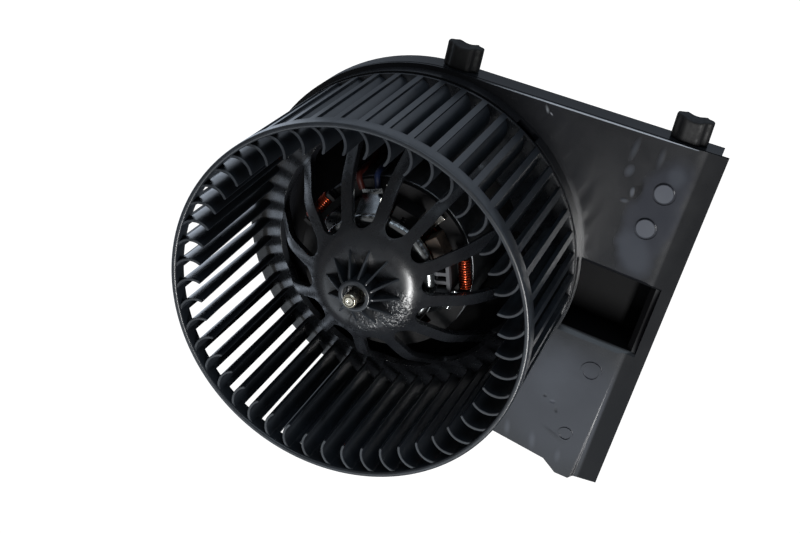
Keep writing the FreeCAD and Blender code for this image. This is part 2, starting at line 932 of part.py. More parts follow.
def make_choke_coil(angle):
    """Close-wound coil, modelled as a tube whose outer wall has one ridge for each turn."""
    turns = round(choke_length / (2 * choke_wire_radius))
    pitch = choke_length / turns
    inner = choke_core_radius + fit_gap
    valley = choke_radius - choke_wire_radius
    edges = []
    start = Vec(valley, -choke_length / 2, 0)
    cursor = start
    for index in range(turns):
        low = -choke_length / 2 + index * pitch
        crest = Vec(choke_radius, low + pitch / 2, 0)
        after = Vec(valley, low + pitch, 0)
        edges.append(Part.Arc(cursor, crest, after).toShape())
        cursor = after
    inner_top = Vec(inner, choke_length / 2, 0)
    inner_low = Vec(inner, -choke_length / 2, 0)
    edges.append(Part.LineSegment(cursor, inner_top).toShape())
    edges.append(Part.LineSegment(inner_top, inner_low).toShape())
    edges.append(Part.LineSegment(inner_low, start).toShape())
    coil = Part.Face(Part.Wire(edges)).revolve(ORIGIN, Vec(0, 1, 0), 360)
    coil.translate(Vec(choke_axis_radius, 0, choke_axis_z))
    return single(turned(coil, angle))


def make_thermal_cutout():
    """Small block of the thermal cut-out, standing on the card."""
    low = (-cutout_width / 2, -cutout_length / 2, card_top_z())
    high = (cutout_width / 2, cutout_length / 2, card_top_z() + cutout_height)
    return placed(block(low, high), cutout_mid_radius, cutout_angle)


def make_capacitor():
    """Round suppression capacitor, standing on the card."""
    low = card_top_z()
    corners = [
        (0, low, 0),
        (capacitor_radius, low, 0),
        (capacitor_radius, low + capacitor_height, capacitor_rounding),
        (0, low + capacitor_height, 0),
    ]
    return placed(turned_profile(corners), capacitor_mid_radius, capacitor_angle)


def make_contact_bar(angle):
    """Flat terminal strip on the card, bent up at its outer end."""
    low = card_top_z()
    half = bar_width / 2
    bar = block((bar_inner_radius, -half, low), (bar_outer_radius, half, low + bar_thickness))
    upright_end = block((bar_outer_radius - bar_thickness, -half, low),
                        (bar_outer_radius, half, low + bar_upright_height))
    return single(turned(bar.fuse(upright_end).removeSplitter(), angle))


# Base plate

def top_normal():
    """Outward direction of the plate's top edge."""
    turn = math.radians(top_edge_tilt)
    return Vec(-math.sin(turn), math.cos(turn), 0)


def top_along():
    """Direction along the plate's top edge, towards the wing."""
    turn = math.radians(top_edge_tilt)
    return Vec(math.cos(turn), math.sin(turn), 0)


def bottom_start():
    """Point where the wing's straight bottom edge leaves the round edge."""
    turn = math.radians(wing_bottom_tilt)
    along = Vec(math.cos(turn), math.sin(turn), 0)
    foot = Vec(math.sin(turn), -math.cos(turn), 0) * wing_bottom_inset
    reach = math.sqrt(plate_radius ** 2 - wing_bottom_inset ** 2)
    return foot.add(along * reach), along


def plate_face(inset, right_x):
    """Face of the plate's outline, moved in by an inset and ended at a right-hand X."""
    radius = plate_radius - inset
    tangent = top_normal() * radius
    along = top_along()
    top_right = tangent.add(along * ((right_x - tangent.x) / along.x))
    start, low_along = bottom_start()
    shift = Vec(low_along.y, -low_along.x, 0) * -inset
    start = start.add(shift)
    radius_start = start.normalize() * radius
    low = start_on_line(low_along, inset, wing_notch_x)
    edges = [Part.LineSegment(tangent, top_right).toShape()]
    bottom_y = wing_bottom_y + inset
    points = [
        top_right,
        Vec(right_x, bottom_y, 0),
        Vec(wing_tab_x[1] + wing_tab_drop, bottom_y - wing_tab_drop, 0),
        Vec(wing_tab_x[1], bottom_y - 2 * wing_tab_drop, 0),
        Vec(wing_tab_x[0], bottom_y - 2 * wing_tab_drop, 0),
        low,
        radius_start,
    ]
    for before, after in zip(points, points[1:]):
        edges.append(Part.LineSegment(before, after).toShape())
    edges.append(Part.Arc(radius_start, Vec(-radius, 0, 0), tangent).toShape())
    return Part.Face(Part.Wire(edges))


def start_on_line(along, inset, x):
    """Point of the wing's bottom edge at an X, moved in by an inset."""
    normal = Vec(along.y, -along.x, 0)
    foot = normal * (wing_bottom_inset - inset)
    return foot.add(along * ((x - foot.x) / along.x))


def plate_prism(inset, right_x, bottom, top):
    """Prism of the plate's outline between two heights."""
    face = plate_face(inset, right_x)
    face.translate(Vec(0, 0, bottom))
    return face.extrude(Vec(0, 0, top - bottom))


def wing_marks():
    """Raised pads and rings on the wing's face."""
    solids = []
    for x, y in pad_centres:
        foot = Vec(x, y, -pad_recess_depth)
        solids.append(Part.makeCylinder(pad_radius, pad_height + pad_recess_depth, foot))
    x, y = ring_mark_centre
    ring = tube(ring_mark_outer, ring_mark_inner, 0, ring_mark_height)
    ring.translate(Vec(x, y, 0))
    solids.append(ring)
    x, y = small_ring_centre
    small = tube(small_ring_radius, small_ring_radius - small_ring_wall, 0, ring_mark_height)
    small.translate(Vec(x, y, 0))
    solids.append(small)
    return solids


def duct_solids():
    """Outer walls of the cooling-air duct behind the plate."""
    return block((cup_inner_radius, duct_bottom_y - duct_wall, -duct_depth - duct_wall),
                 (duct_right_x + duct_wall, duct_top_y + duct_wall, -plate_wall / 2))


def duct_hollow():
    """Channel behind the plate, and the pocket that opens it to the front beside the collar."""
    wall_x = duct_right_x - duct_right_slope
    start_x = cup_inner_radius - duct_cup_overlap
    channel = block((start_x, duct_bottom_y, -duct_depth), (wall_x, duct_top_y, -plate_wall))
    pocket = block((cup_inner_radius, duct_bottom_y, -duct_depth), (wall_x, duct_top_y, overshoot))
    pocket = pocket.fuse(duct_slope())
    round_wall = disc(collar_outer_radius + duct_collar_gap, -duct_depth - overshoot, 2 * overshoot)
    return channel, pocket.fuse(duct_bevel()).cut(round_wall)


def duct_slope():
    """Sloped right side of the air pocket's mouth."""
    wall_x = duct_right_x - duct_right_slope
    section = [
        Vec(cup_inner_radius, duct_bottom_y, overshoot),
        Vec(duct_right_x, duct_bottom_y, overshoot),
        Vec(duct_right_x, duct_bottom_y, 0),
        Vec(wall_x, duct_bottom_y, -duct_right_slope),
        Vec(cup_inner_radius, duct_bottom_y, -duct_right_slope),
        Vec(cup_inner_radius, duct_bottom_y, overshoot),
    ]
    return Part.Face(Part.makePolygon(section)).extrude(Vec(0, duct_top_y - duct_bottom_y, 0))


def duct_bevel():
    """Bevelled mouth of the air pocket along its long edges."""
    low = cup_inner_radius
    section = [
        Vec(low, duct_bottom_y - duct_lip, 0),
        Vec(low, duct_bottom_y, -duct_lip),
        Vec(low, duct_top_y, -duct_lip),
        Vec(low, duct_top_y + duct_lip, 0),
        Vec(low, duct_top_y + duct_lip, overshoot),
        Vec(low, duct_bottom_y - duct_lip, overshoot),
        Vec(low, duct_bottom_y - duct_lip, 0),
    ]
    return Part.Face(Part.makePolygon(section)).extrude(Vec(duct_right_x - low, 0, 0))


def cup_profile():
    """Cup that holds the motor behind the plate."""
    outer = cup_inner_radius + cup_wall
    corners = [
        (0, cup_back_z, 0),
        (outer, cup_back_z, cup_rounding),
        (outer, -plate_wall / 2, 0),
        (cup_inner_radius, -plate_wall / 2, 0),
        (cup_inner_radius, cup_back_z + cup_floor, cup_rounding - cup_wall),
        (0, cup_back_z + cup_floor, 0),
    ]
    return turned_profile(corners)


def back_ribs():
    """Radial webs between the cup and the skirt, clear of the duct and the plug socket."""
    ribs = []
    inner = cup_inner_radius + cup_wall / 2
    outer = plate_radius - skirt_wall / 2
    for angle in spread(back_rib_count, back_rib_phase):
        bearing_angle = (angle + 180.0) % 360.0 - 180.0
        if abs(bearing_angle) < back_rib_gap_angle:
            continue
        if abs(bearing_angle - socket_angle) < socket_gap_angle:
            continue
        rib = block((inner, -back_rib_thickness / 2, -skirt_depth),
                    (outer, back_rib_thickness / 2, -plate_wall / 2))
        ribs.append(turned(rib, angle))
    return ribs


def tabs():
    """Flat tabs on the skirt that the rubber buffers are pushed onto."""
    solids = []
    for position, turn, seat in buffer_seats():
        tab = block((-tab_width / 2, -skirt_wall / 2, buffer_mid_z - tab_thickness / 2),
                    (tab_width / 2, tab_height, buffer_mid_z + tab_thickness / 2))
        solids.append(seat_copy(tab, position, turn, seat))
    return solids


def buffer_seats():
    """Along-edge position, turn in degrees and seat distance of each rubber buffer."""
    seats = [(position, top_edge_tilt, plate_radius) for position in buffer_positions]
    seats.append((0.0, buffer_side_angle - 90.0, buffer_side_seat))
    return seats


def seat_copy(shape, position, turn, seat):
    """Copy of a shape whose +Y is outward, set at a place along one edge of the plate."""
    copy = shape.copy()
    copy.translate(Vec(position, seat, 0))
    copy.rotate(ORIGIN, Z_AXIS, turn)
    return copy


def socket_shell():
    """Open housing for the plug on the back of the plate."""
    half_l = socket_length / 2
    half_w = socket_width / 2
    mouth = -socket_depth - plate_wall
    body = block((-half_l, -half_w, mouth), (half_l, half_w, -plate_wall / 2))
    hollow = block((-half_l + socket_wall, -half_w + socket_wall, mouth - overshoot),
                   (half_l - socket_wall, half_w - socket_wall, -plate_wall - socket_floor))
    return placed(body, socket_mid_radius, socket_angle), placed(hollow, socket_mid_radius, socket_angle)


def make_base_plate():
    """Moulded plate with its collar, skirt, duct, motor cup, ribs, tabs and plug socket."""
    floor = plate_prism(0, wing_right_x, -plate_wall, 0)
    floor = floor.cut(flange_recess())
    skirt_right_x = duct_right_x + duct_wall
    skirt = plate_prism(0, skirt_right_x, -skirt_depth, -plate_wall / 2)
    skirt = skirt.cut(plate_prism(skirt_wall, skirt_right_x - skirt_wall, -skirt_depth - overshoot, 0))
    skirt = skirt.cut(side_recess(0)).fuse(side_niche())
    collar = tube(collar_outer_radius, collar_outer_radius - collar_wall, -plate_wall / 2, collar_height)
    window = tube(collar_outer_radius + overshoot, collar_outer_radius - collar_wall - overshoot,
                  collar_window_z, collar_height + overshoot)
    span = collar_window_angles[1] - collar_window_angles[0]
    middle = 0.5 * (collar_window_angles[0] + collar_window_angles[1])
    collar = collar.cut(turned(sector(window, collar_outer_radius, span), middle))
    shell, socket_hollow = socket_shell()
    channel, pocket = duct_hollow()
    body = fused([floor, skirt, collar, cup_profile(), duct_solids(), shell] + back_ribs() + tabs())
    cuts = [
        disc(cup_mouth_radius, -plate_wall - overshoot, overshoot),
        disc(cup_inner_radius, cup_back_z + cup_floor + cup_rounding, -plate_wall),
        channel,
        pocket,
        socket_hollow,
    ]
    for x, y in pad_centres:
        recess_low = Vec(x, y, -pad_recess_depth)
        cuts.append(Part.makeCylinder(pad_recess_radius, pad_recess_depth + overshoot, recess_low))
    for angle in lead_angles:
        hole_low = polar(lead_hole_radius, angle, -plate_wall - overshoot)
        hole_depth = plate_wall + 2 * overshoot
        cuts.append(Part.makeCylinder(lead_radius + lead_hole_clearance, hole_depth, hole_low))
    cuts.append(edge_groove())
    for cut in cuts:
        body = body.cut(cut)
    body = body.multiFuse(wing_marks())
    return single(body.removeSplitter())


def flange_recess():
    """Space over the lowered strip along the wing's right edge, with a sloped side."""
    reach = wing_right_x + plate_radius
    start = wing_right_x - flange_width
    section = [
        Vec(start, -reach, 0),
        Vec(start + flange_slope_width, -reach, -flange_step),
        Vec(reach, -reach, -flange_step),
        Vec(reach, -reach, overshoot),
        Vec(start, -reach, overshoot),
        Vec(start, -reach, 0),
    ]
    return Part.Face(Part.makePolygon(section)).extrude(Vec(0, 2 * reach, 0))


def side_recess(grow):
    """Space outside the side buffer's flat seat, below the plate's floor."""
    half = buffer_width / 2 + side_seat_margin + grow
    top = -plate_wall if grow == 0 else -plate_wall / 2
    low = -skirt_depth - overshoot + grow
    space = block((-half, buffer_side_seat - grow, low), (half, 2 * plate_radius, top))
    return seat_copy(space, 0, buffer_side_angle - 90.0, 0)


def side_niche():
    """Walls of the flat-bottomed niche in the skirt that the side buffer stands in."""
    shell = side_recess(skirt_wall).common(disc(plate_radius, -skirt_depth, 0))
    return shell.cut(side_recess(0))


def edge_groove():
    """Thin groove in the skirt's side, just behind the plate's face, along the top edge."""
    low_z = groove_top_z - groove_width
    outer = plate_prism(-overshoot, 2 * wing_right_x, low_z, groove_top_z)
    inner = plate_prism(groove_depth, 2 * wing_right_x + overshoot, low_z, groove_top_z)
    reach = wing_right_x + plate_radius
    return outer.cut(inner).common(block((-reach, 0, low_z), (reach, reach, groove_top_z)))


def make_rubber_buffer(position, turn, seat):
    """Rubber block of plus-shaped section with a saddle top, hollow for its tab."""
    half = buffer_width / 2
    core = buffer_core_width / 2
    deep = buffer_depth / 2
    rib = buffer_rib_depth / 2
    soft = buffer_edge_rounding
    quarter = [(half, rib, soft), (core, rib, soft), (core, deep, soft)]
    mirrored = [(-u, v, r) for u, v, r in quarter[::-1]]
    upper = quarter + mirrored
    corners = upper + [(-u, -v, r) for u, v, r in upper]
    face = Part.Face(rounded_wire(corners, lambda u, v: Vec(u, 0, buffer_mid_z + v)))
    body = face.extrude(Vec(0, buffer_height, 0))
    saddle_half = half / 2
    saddle_radius = (saddle_half ** 2 + buffer_saddle ** 2) / (2 * buffer_saddle)
    saddle_y = buffer_height - buffer_saddle + saddle_radius
    saddle_low = Vec(0, saddle_y, buffer_mid_z - deep - overshoot)
    body = body.cut(Part.makeCylinder(saddle_radius, buffer_depth + 2 * overshoot, saddle_low))
    hole_half = tab_width / 2 + fit_gap
    hole_deep = tab_thickness / 2 + fit_gap
    hole = block((-hole_half, -overshoot, buffer_mid_z - hole_deep),
                 (hole_half, tab_height + fit_gap, buffer_mid_z + hole_deep))
    return single(seat_copy(body.cut(hole), position, turn, seat))


# Isolators, leads and plug pins

def make_front_isolator():
    """Rubber ring between the can and the cup, just behind the plate."""
    top = -plate_wall - fit_gap
    return tube(cup_inner_radius - fit_gap, can_radius + fit_gap, top - isolator_height, top)


def make_rear_isolator():
    """Rubber seat under the can, with notches for the air."""
    floor = cup_back_z + cup_floor
    outer = cup_inner_radius - fit_gap
    shoulder = can_back_z - fit_gap
    corners = [
        (can_radius - seat_lip_reach, floor + fit_gap, 0),
        (outer, floor + fit_gap, cup_rounding - cup_wall),
        (outer, can_back_z + isolator_height, 0),
        (can_radius + fit_gap, can_back_z + isolator_height, 0),
        (can_radius + fit_gap, shoulder, 0),
        (can_radius - seat_lip_reach, shoulder, 0),
    ]
    ring = turned_profile(corners)
    half = isolator_notch_width / 2
    notch = block((can_radius - seat_lip_reach - overshoot, -half, floor + isolator_pad_height),
                  (outer + overshoot, half, can_back_z + isolator_height + overshoot))
    notches = [turned(notch, angle) for angle in spread(isolator_notch_count)]
    return single(ring.cut(Part.makeCompound(notches)))


def make_lead(angle):
    """Insulated lead from the brush card, down beside the can and through the plate, to the socket."""
    card_z = card_top_z() + lead_radius + 2 * fit_gap
    half_spread = (socket_angle - angle) * math.pi / 180
    entry = (socket_mid_radius - socket_length / 2) / math.cos(half_spread)
    corners = [
        (lead_start_radius, card_z, 0),
        (lead_drop_radius, card_z, lead_bend_radius),
        (lead_drop_radius, lead_slope_top_z, lead_sweep_radius),
        (lead_hole_radius, lead_slope_low_z, lead_sweep_radius),
        (lead_hole_radius, lead_entry_z, lead_bend_radius),
        (entry - lead_radius * math.tan(abs(half_spread)) - fit_gap, lead_entry_z, 0),
    ]
    path = rounded_wire(corners, upright, closed=False)
    ring = Part.Wire(Part.makeCircle(lead_radius, Vec(lead_start_radius, 0, card_z), Vec(1, 0, 0)))
    body = path.makePipeShell([ring], True, True)
    return single(turned(body, angle))


def make_plug_pins():
    """The two flat pins of the plug socket."""
    pins = []
    top = -plate_wall - socket_floor
    for side in (-1, 1):
        pin = block((-pin_thickness / 2, side * pin_spacing / 2 - pin_width / 2, top - pin_length),
                    (pin_thickness / 2, side * pin_spacing / 2 + pin_width / 2, top))
        pins.append(placed(pin, socket_mid_radius, socket_angle))
    return Part.makeCompound(pins)


def all_parts():
    """Every node of the model by name."""
    parts = {
        "base_plate": make_base_plate(),
        "blower_wheel": make_blower_wheel(),
        "motor_shaft": make_motor_shaft(),
        "armature_core": make_armature_core(),
        "armature_windings": make_armature_windings(),
        "commutator": make_commutator(),
        "thrust_washer": make_thrust_washer(),
        "motor_can": make_motor_can(),
        "magnet_right": make_magnet(0),
        "magnet_left": make_magnet(180),
        "front_bearing": make_front_bearing(),
        "rear_bearing": make_rear_bearing(),
        "rear_bearing_retainer": make_rear_bearing_retainer(),
        "end_bracket": make_end_bracket(),
        "brush_card": make_brush_card(),
        "carbon_brush_upper": make_carbon_brush(brush_phase),
        "carbon_brush_lower": make_carbon_brush(brush_phase + 180),
        "brush_spring_upper": make_brush_spring(brush_phase),
        "brush_spring_lower": make_brush_spring(brush_phase + 180),
        "choke_core_right": make_choke_core(choke_angles[0]),
        "choke_core_left": make_choke_core(choke_angles[1]),
        "choke_coil_right": make_choke_coil(choke_angles[0]),
        "choke_coil_left": make_choke_coil(choke_angles[1]),
        "thermal_cutout": make_thermal_cutout(),
        "suppression_capacitor": make_capacitor(),
        "contact_bar_right": make_contact_bar(bar_angles[0]),
        "contact_bar_left": make_contact_bar(bar_angles[1]),
        "front_isolator": make_front_isolator(),
        "rear_isolator": make_rear_isolator(),
        "lead_red": make_lead(lead_angles[1]),
        "lead_blue": make_lead(lead_angles[0]),
        "plug_pins": make_plug_pins(),
    }
    names = ("rubber_buffer_left", "rubber_buffer_right", "rubber_buffer_side")
    for name, seat in zip(names, buffer_seats()):
        parts[name] = make_rubber_buffer(*seat)
    return parts


os.makedirs("parts", exist_ok=True)
for name, shape in all_parts().items():
    shape.exportStep("parts/" + name + ".step")
    print(name, "solids", len(shape.Solids), "valid", shape.isValid(), "volume", round(shape.Volume, 1))
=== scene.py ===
"""Looks of a car cabin blower: a forward-curved wheel on a brushed motor, held in a moulded plate.

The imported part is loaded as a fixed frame. Each class below builds or dresses one sub-assembly
round it, in metres, in the frame's own axes.
"""

import logging
import math
from dataclasses import dataclass
from enum import Enum
from functools import cache
from typing import Any, Callable, Dict, Iterable, List, Optional, Sequence, Tuple

import bmesh
import bpy
from mathutils import Matrix, Vector


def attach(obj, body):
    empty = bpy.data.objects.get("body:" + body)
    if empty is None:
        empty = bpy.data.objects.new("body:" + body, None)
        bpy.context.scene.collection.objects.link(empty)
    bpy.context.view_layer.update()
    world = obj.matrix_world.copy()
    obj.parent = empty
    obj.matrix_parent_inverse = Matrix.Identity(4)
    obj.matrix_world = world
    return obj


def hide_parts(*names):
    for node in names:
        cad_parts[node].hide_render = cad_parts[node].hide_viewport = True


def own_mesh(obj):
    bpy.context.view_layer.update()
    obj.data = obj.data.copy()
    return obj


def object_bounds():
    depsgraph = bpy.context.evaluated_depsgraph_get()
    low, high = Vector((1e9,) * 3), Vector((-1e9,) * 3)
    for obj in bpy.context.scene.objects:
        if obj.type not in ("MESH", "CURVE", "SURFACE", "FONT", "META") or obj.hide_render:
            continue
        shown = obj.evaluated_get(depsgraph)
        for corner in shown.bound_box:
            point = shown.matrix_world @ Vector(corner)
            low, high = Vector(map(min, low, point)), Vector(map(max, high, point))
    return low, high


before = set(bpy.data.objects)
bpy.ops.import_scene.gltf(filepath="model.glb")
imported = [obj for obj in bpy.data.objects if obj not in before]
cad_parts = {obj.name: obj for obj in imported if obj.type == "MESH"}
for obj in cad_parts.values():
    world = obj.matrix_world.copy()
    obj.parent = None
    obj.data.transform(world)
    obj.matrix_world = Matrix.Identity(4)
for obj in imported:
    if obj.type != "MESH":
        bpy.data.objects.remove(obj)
cad_box = [list(corner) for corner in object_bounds()]

log = logging.getLogger("blower")
MM = 0.001
TURN = 2.0 * math.pi
WELD = 2e-6
Point = Tuple[float, float, float]
Socket = bpy.types.NodeSocket
Tree = bpy.types.NodeTree
Piece = bpy.types.Object


class Body(Enum):
    """Bodies of the part that pieces ride on."""

    HOUSING = "housing"
    ROTOR = "rotor"
    BRUSH_UPPER = "brush_upper"
    BRUSH_LOWER = "brush_lower"


def linear(colour: str) -> Tuple[float, float, float, float]:
    """Turn an sRGB hex colour into linear values.

    Args:
        colour: six hex digits, with a leading hash.

    Returns:
        Red, green, blue and an alpha of one.
    """
    parts = [int(colour[i:i + 2], 16) / 255.0 for i in (1, 3, 5)]
    levels = [c / 12.92 if c <= 0.04045 else ((c + 0.055) / 1.055) ** 2.4 for c in parts]
    return (levels[0], levels[1], levels[2], 1.0)


def per_metre(size_mm: float) -> float:
    """Texture scale that gives features of a real size in millimetres."""
    return 1.0 / (size_mm * MM)


def empty_tree(owner: Any) -> Tree:
    """Node tree of a material or world, cleared of its first nodes.

    Args:
        owner: the material or world.

    Returns:
        Its empty node tree.
    """
    owner.use_nodes = True
    owner.node_tree.nodes.clear()
    return owner.node_tree


def add_node(tree: Tree, kind: str, inputs: Optional[Dict[Any, Any]] = None,
             **settings: Any) -> bpy.types.Node:
    """Add one node to a tree, with its settings, input values and links.

    Args:
        tree: node tree that the node goes into.
        kind: identifier of the node's type.
        inputs: a value or an output socket for each input, by name or number.
        settings: properties that are set on the node itself.

    Returns:
        The new node.
    """
    node = tree.nodes.new(kind)
    for name, value in settings.items():
        setattr(node, name, value)
    for name, value in (inputs or {}).items():
        socket = node.inputs[name]
        if isinstance(value, Socket):
            tree.links.new(value, socket)
        else:
            socket.default_value = value
    return node


def remap(tree: Tree, value: Socket, span: Tuple[float, float], result: Tuple[Any, Any],
          easing: str = "SMOOTHSTEP") -> Socket:
    """Map a span of a value onto a span of results, softly eased unless told otherwise."""
    inputs = {"From Min": span[0], "From Max": span[1], "To Min": result[0], "To Max": result[1],
              "Value": value}
    return add_node(tree, "ShaderNodeMapRange", inputs, interpolation_type=easing).outputs["Result"]


def ramp(tree: Tree, factor: Socket, stops: Sequence[Tuple[float, Sequence[float]]]) -> Socket:
    """Colour that changes over a factor.

    Args:
        tree: node tree to work in.
        factor: socket that drives the change.
        stops: places and colours along the change.

    Returns:
        The colour socket.
    """
    node = add_node(tree, "ShaderNodeValToRGB", {"Fac": factor})
    elements = node.color_ramp.elements
    while len(elements) < len(stops):
        elements.new(0.5)
    for element, (place, colour) in zip(elements, stops):
        element.position = place
        element.color = colour
    return node.outputs["Color"]


@dataclass(frozen=True)
class Patch:
    """One placed change of a surface, such as a smear, a stain, a dent, a speck, painted shade or a painted
    highlight.
    """

    centre: Point
    reach: Point
    colour: str = ""
    share: float = 1.0
    height: float = 0.0
    rough: float = 0.0
    shine: float = 0.0
    turn: float = 0.0
    soft: float = 0.6
    warp: float = 0.0
    crackle: float = 0.0


@dataclass(frozen=True)
class Finish:
    """Surface finish: what every material of the blower shares."""

    name: str
    colour: str
    roughness: float = 0.5
    metallic: float = 0.0
    roughness_spread: float = 0.1
    tone: str = ""
    tone_size: float = 20.0
    tone_low: float = 0.4
    tone_high: float = 0.6
    wave_size: float = 6.0
    wave_height: float = 0.0
    coat: float = 0.0
    coat_roughness: float = 0.2
    specular: float = 0.5
    speck: str = ""
    speck_size: float = 2.5
    speck_share: float = 0.06
    patches: Tuple[Patch, ...] = ()

    def build(self) -> bpy.types.Material:
        """Make the node material, or return the one made before.

        Returns:
            The material.
        """
        made = bpy.data.materials.get(self.name)
        if made is not None:
            return made
        material = bpy.data.materials.new(self.name)
        tree = empty_tree(material)
        painter = Painter(self, tree)
        shader = add_node(tree, "ShaderNodeBsdfPrincipled", {
            "Base Color": painter.colour(),
            "Roughness": painter.roughness(),
            "Normal": painter.normal(),
            "Metallic": self.metallic,
            "Coat Weight": self.coat,
            "Coat Roughness": self.coat_roughness,
            "Specular IOR Level": painter.shifted(self.specular, "shine"),
        })
        add_node(tree, "ShaderNodeOutputMaterial", {"Surface": shader.outputs["BSDF"]})
        return material


class Painter:
    """Nodes of one finish: the masks of its patches, its colour, its roughness and its bumps."""

    drift_size: float = 9.0
    shard_size: float = 2.6
    gloss_cloud_share: float = 0.35

    def __init__(self, finish: Finish, tree: Tree) -> None:
        """Start a tree with the surface point and the masks.

        Args:
            finish: finish that the nodes are made for.
            tree: the material's empty node tree.
        """
        self.finish = finish
        self.tree = tree
        self.place = add_node(tree, "ShaderNodeTexCoord").outputs["Object"]
        self.masks = self.patch_masks() if finish.patches else []

    def noise(self, size_mm: float, detail: float, roughness: float = 0.5,
              distortion: float = 0.0) -> bpy.types.Node:
        """Cloudy texture with features of a size in millimetres."""
        return add_node(self.tree, "ShaderNodeTexNoise", {
            "Vector": self.place, "Scale": per_metre(size_mm), "Detail": detail,
            "Roughness": roughness, "Distortion": distortion})

    def math(self, operation: str, *values: Any) -> Socket:
        """Result of a math operation on numbers or sockets."""
        return add_node(self.tree, "ShaderNodeMath", dict(enumerate(values)), operation=operation).outputs[0]

    def mixed(self, share: Socket, under: Socket, over: str) -> Socket:
        """Lay a colour, given as hex, over another by a share."""
        inputs = {0: share, 6: under, 7: linear(over)}
        return add_node(self.tree, "ShaderNodeMix", inputs, data_type="RGBA").outputs[2]

    def patch_masks(self) -> List[Socket]:
        """One soft-edged mask for each patch.

        Returns:
            The mask sockets, in the patches' order.
        """
        clouds = self.noise(self.drift_size, 4.0).outputs["Color"]
        drift = add_node(self.tree, "ShaderNodeVectorMath", {0: clouds, 1: (0.5,) * 3}, operation="SUBTRACT")
        sockets = []
        for patch in self.finish.patches:
            moved = add_node(self.tree, "ShaderNodeVectorMath", {
                0: drift.outputs["Vector"],
                1: (patch.warp * MM, patch.warp * MM, 0.0),
                2: self.place,
            }, operation="MULTIPLY_ADD")
            local = add_node(self.tree, "ShaderNodeMapping", {
                "Vector": moved.outputs["Vector"],
                "Location": tuple(c * MM for c in patch.centre),
                "Rotation": (0.0, 0.0, math.radians(patch.turn)),
                "Scale": tuple(c * MM for c in patch.reach),
            }, vector_type="TEXTURE")
            reached = {0: local.outputs["Vector"]}
            away = add_node(self.tree, "ShaderNodeVectorMath", reached, operation="LENGTH").outputs["Value"]
            sockets.append(remap(self.tree, away, (1.0 - patch.soft, 1.0), (1.0, 0.0)))
        return sockets

    def shifted(self, level: Any, field: str) -> Any:
        """Raise or lower a level in the patches that change it.

        Args:
            level: value or socket of the level elsewhere.
            field: name of the patches' field that holds the change.

        Returns:
            The value itself where no patch changes it, else a socket.
        """
        for patch, mask in zip(self.finish.patches, self.masks):
            change = getattr(patch, field)
            if change:
                level = self.math("MULTIPLY_ADD", mask, change, level)
        return level

    def colour(self) -> Socket:
        """Base colour: two tones in soft clouds, the patches' tints, and small specks over them.

        Returns:
            The colour socket.
        """
        finish = self.finish
        cloud = self.noise(finish.tone_size, 5.0, roughness=0.6).outputs["Fac"]
        colour = ramp(self.tree, cloud, [(finish.tone_low, linear(finish.colour)),
                                         (finish.tone_high, linear(finish.tone or finish.colour))])
        for patch, mask in zip(finish.patches, self.masks):
            if patch.colour:
                colour = self.mixed(self.math("MULTIPLY", mask, patch.share), colour, patch.colour)
        if not finish.speck:
            return colour
        cells = add_node(self.tree, "ShaderNodeTexVoronoi",
                         {"Vector": self.place, "Scale": per_metre(finish.speck_size)})
        dots = self.math("LESS_THAN", cells.outputs["Distance"], finish.speck_share)
        return self.mixed(dots, colour, finish.speck)

    def roughness(self) -> Socket:
        """Roughness that drifts over the surface and changes in the patches.

        Returns:
            The roughness socket.
        """
        finish = self.finish
        cloud = self.noise(finish.tone_size * self.gloss_cloud_share, 4.0).outputs["Fac"]
        low = max(0.02, finish.roughness - finish.roughness_spread)
        high = min(1.0, finish.roughness + finish.roughness_spread)
        return self.shifted(remap(self.tree, cloud, (0.3, 0.7), (low, high), "LINEAR"), "rough")

    def normal(self) -> Socket:
        """Surface bumps: a slow wave with the patches' dents and crazing.

        Returns:
            The normal socket.
        """
        finish = self.finish
        height = self.math("MULTIPLY", self.noise(finish.wave_size, 2.0).outputs["Fac"], finish.wave_height)
        height = self.shifted(height, "height")
        for patch, mask in zip(finish.patches, self.masks):
            if patch.crackle:
                shards = self.noise(self.shard_size, 2.5, distortion=1.5).outputs["Fac"]
                height = self.math("MULTIPLY_ADD", mask, self.math("MULTIPLY", shards, patch.crackle), height)
        return add_node(self.tree, "ShaderNodeBump", {"Height": height, "Distance": MM}).outputs["Normal"]


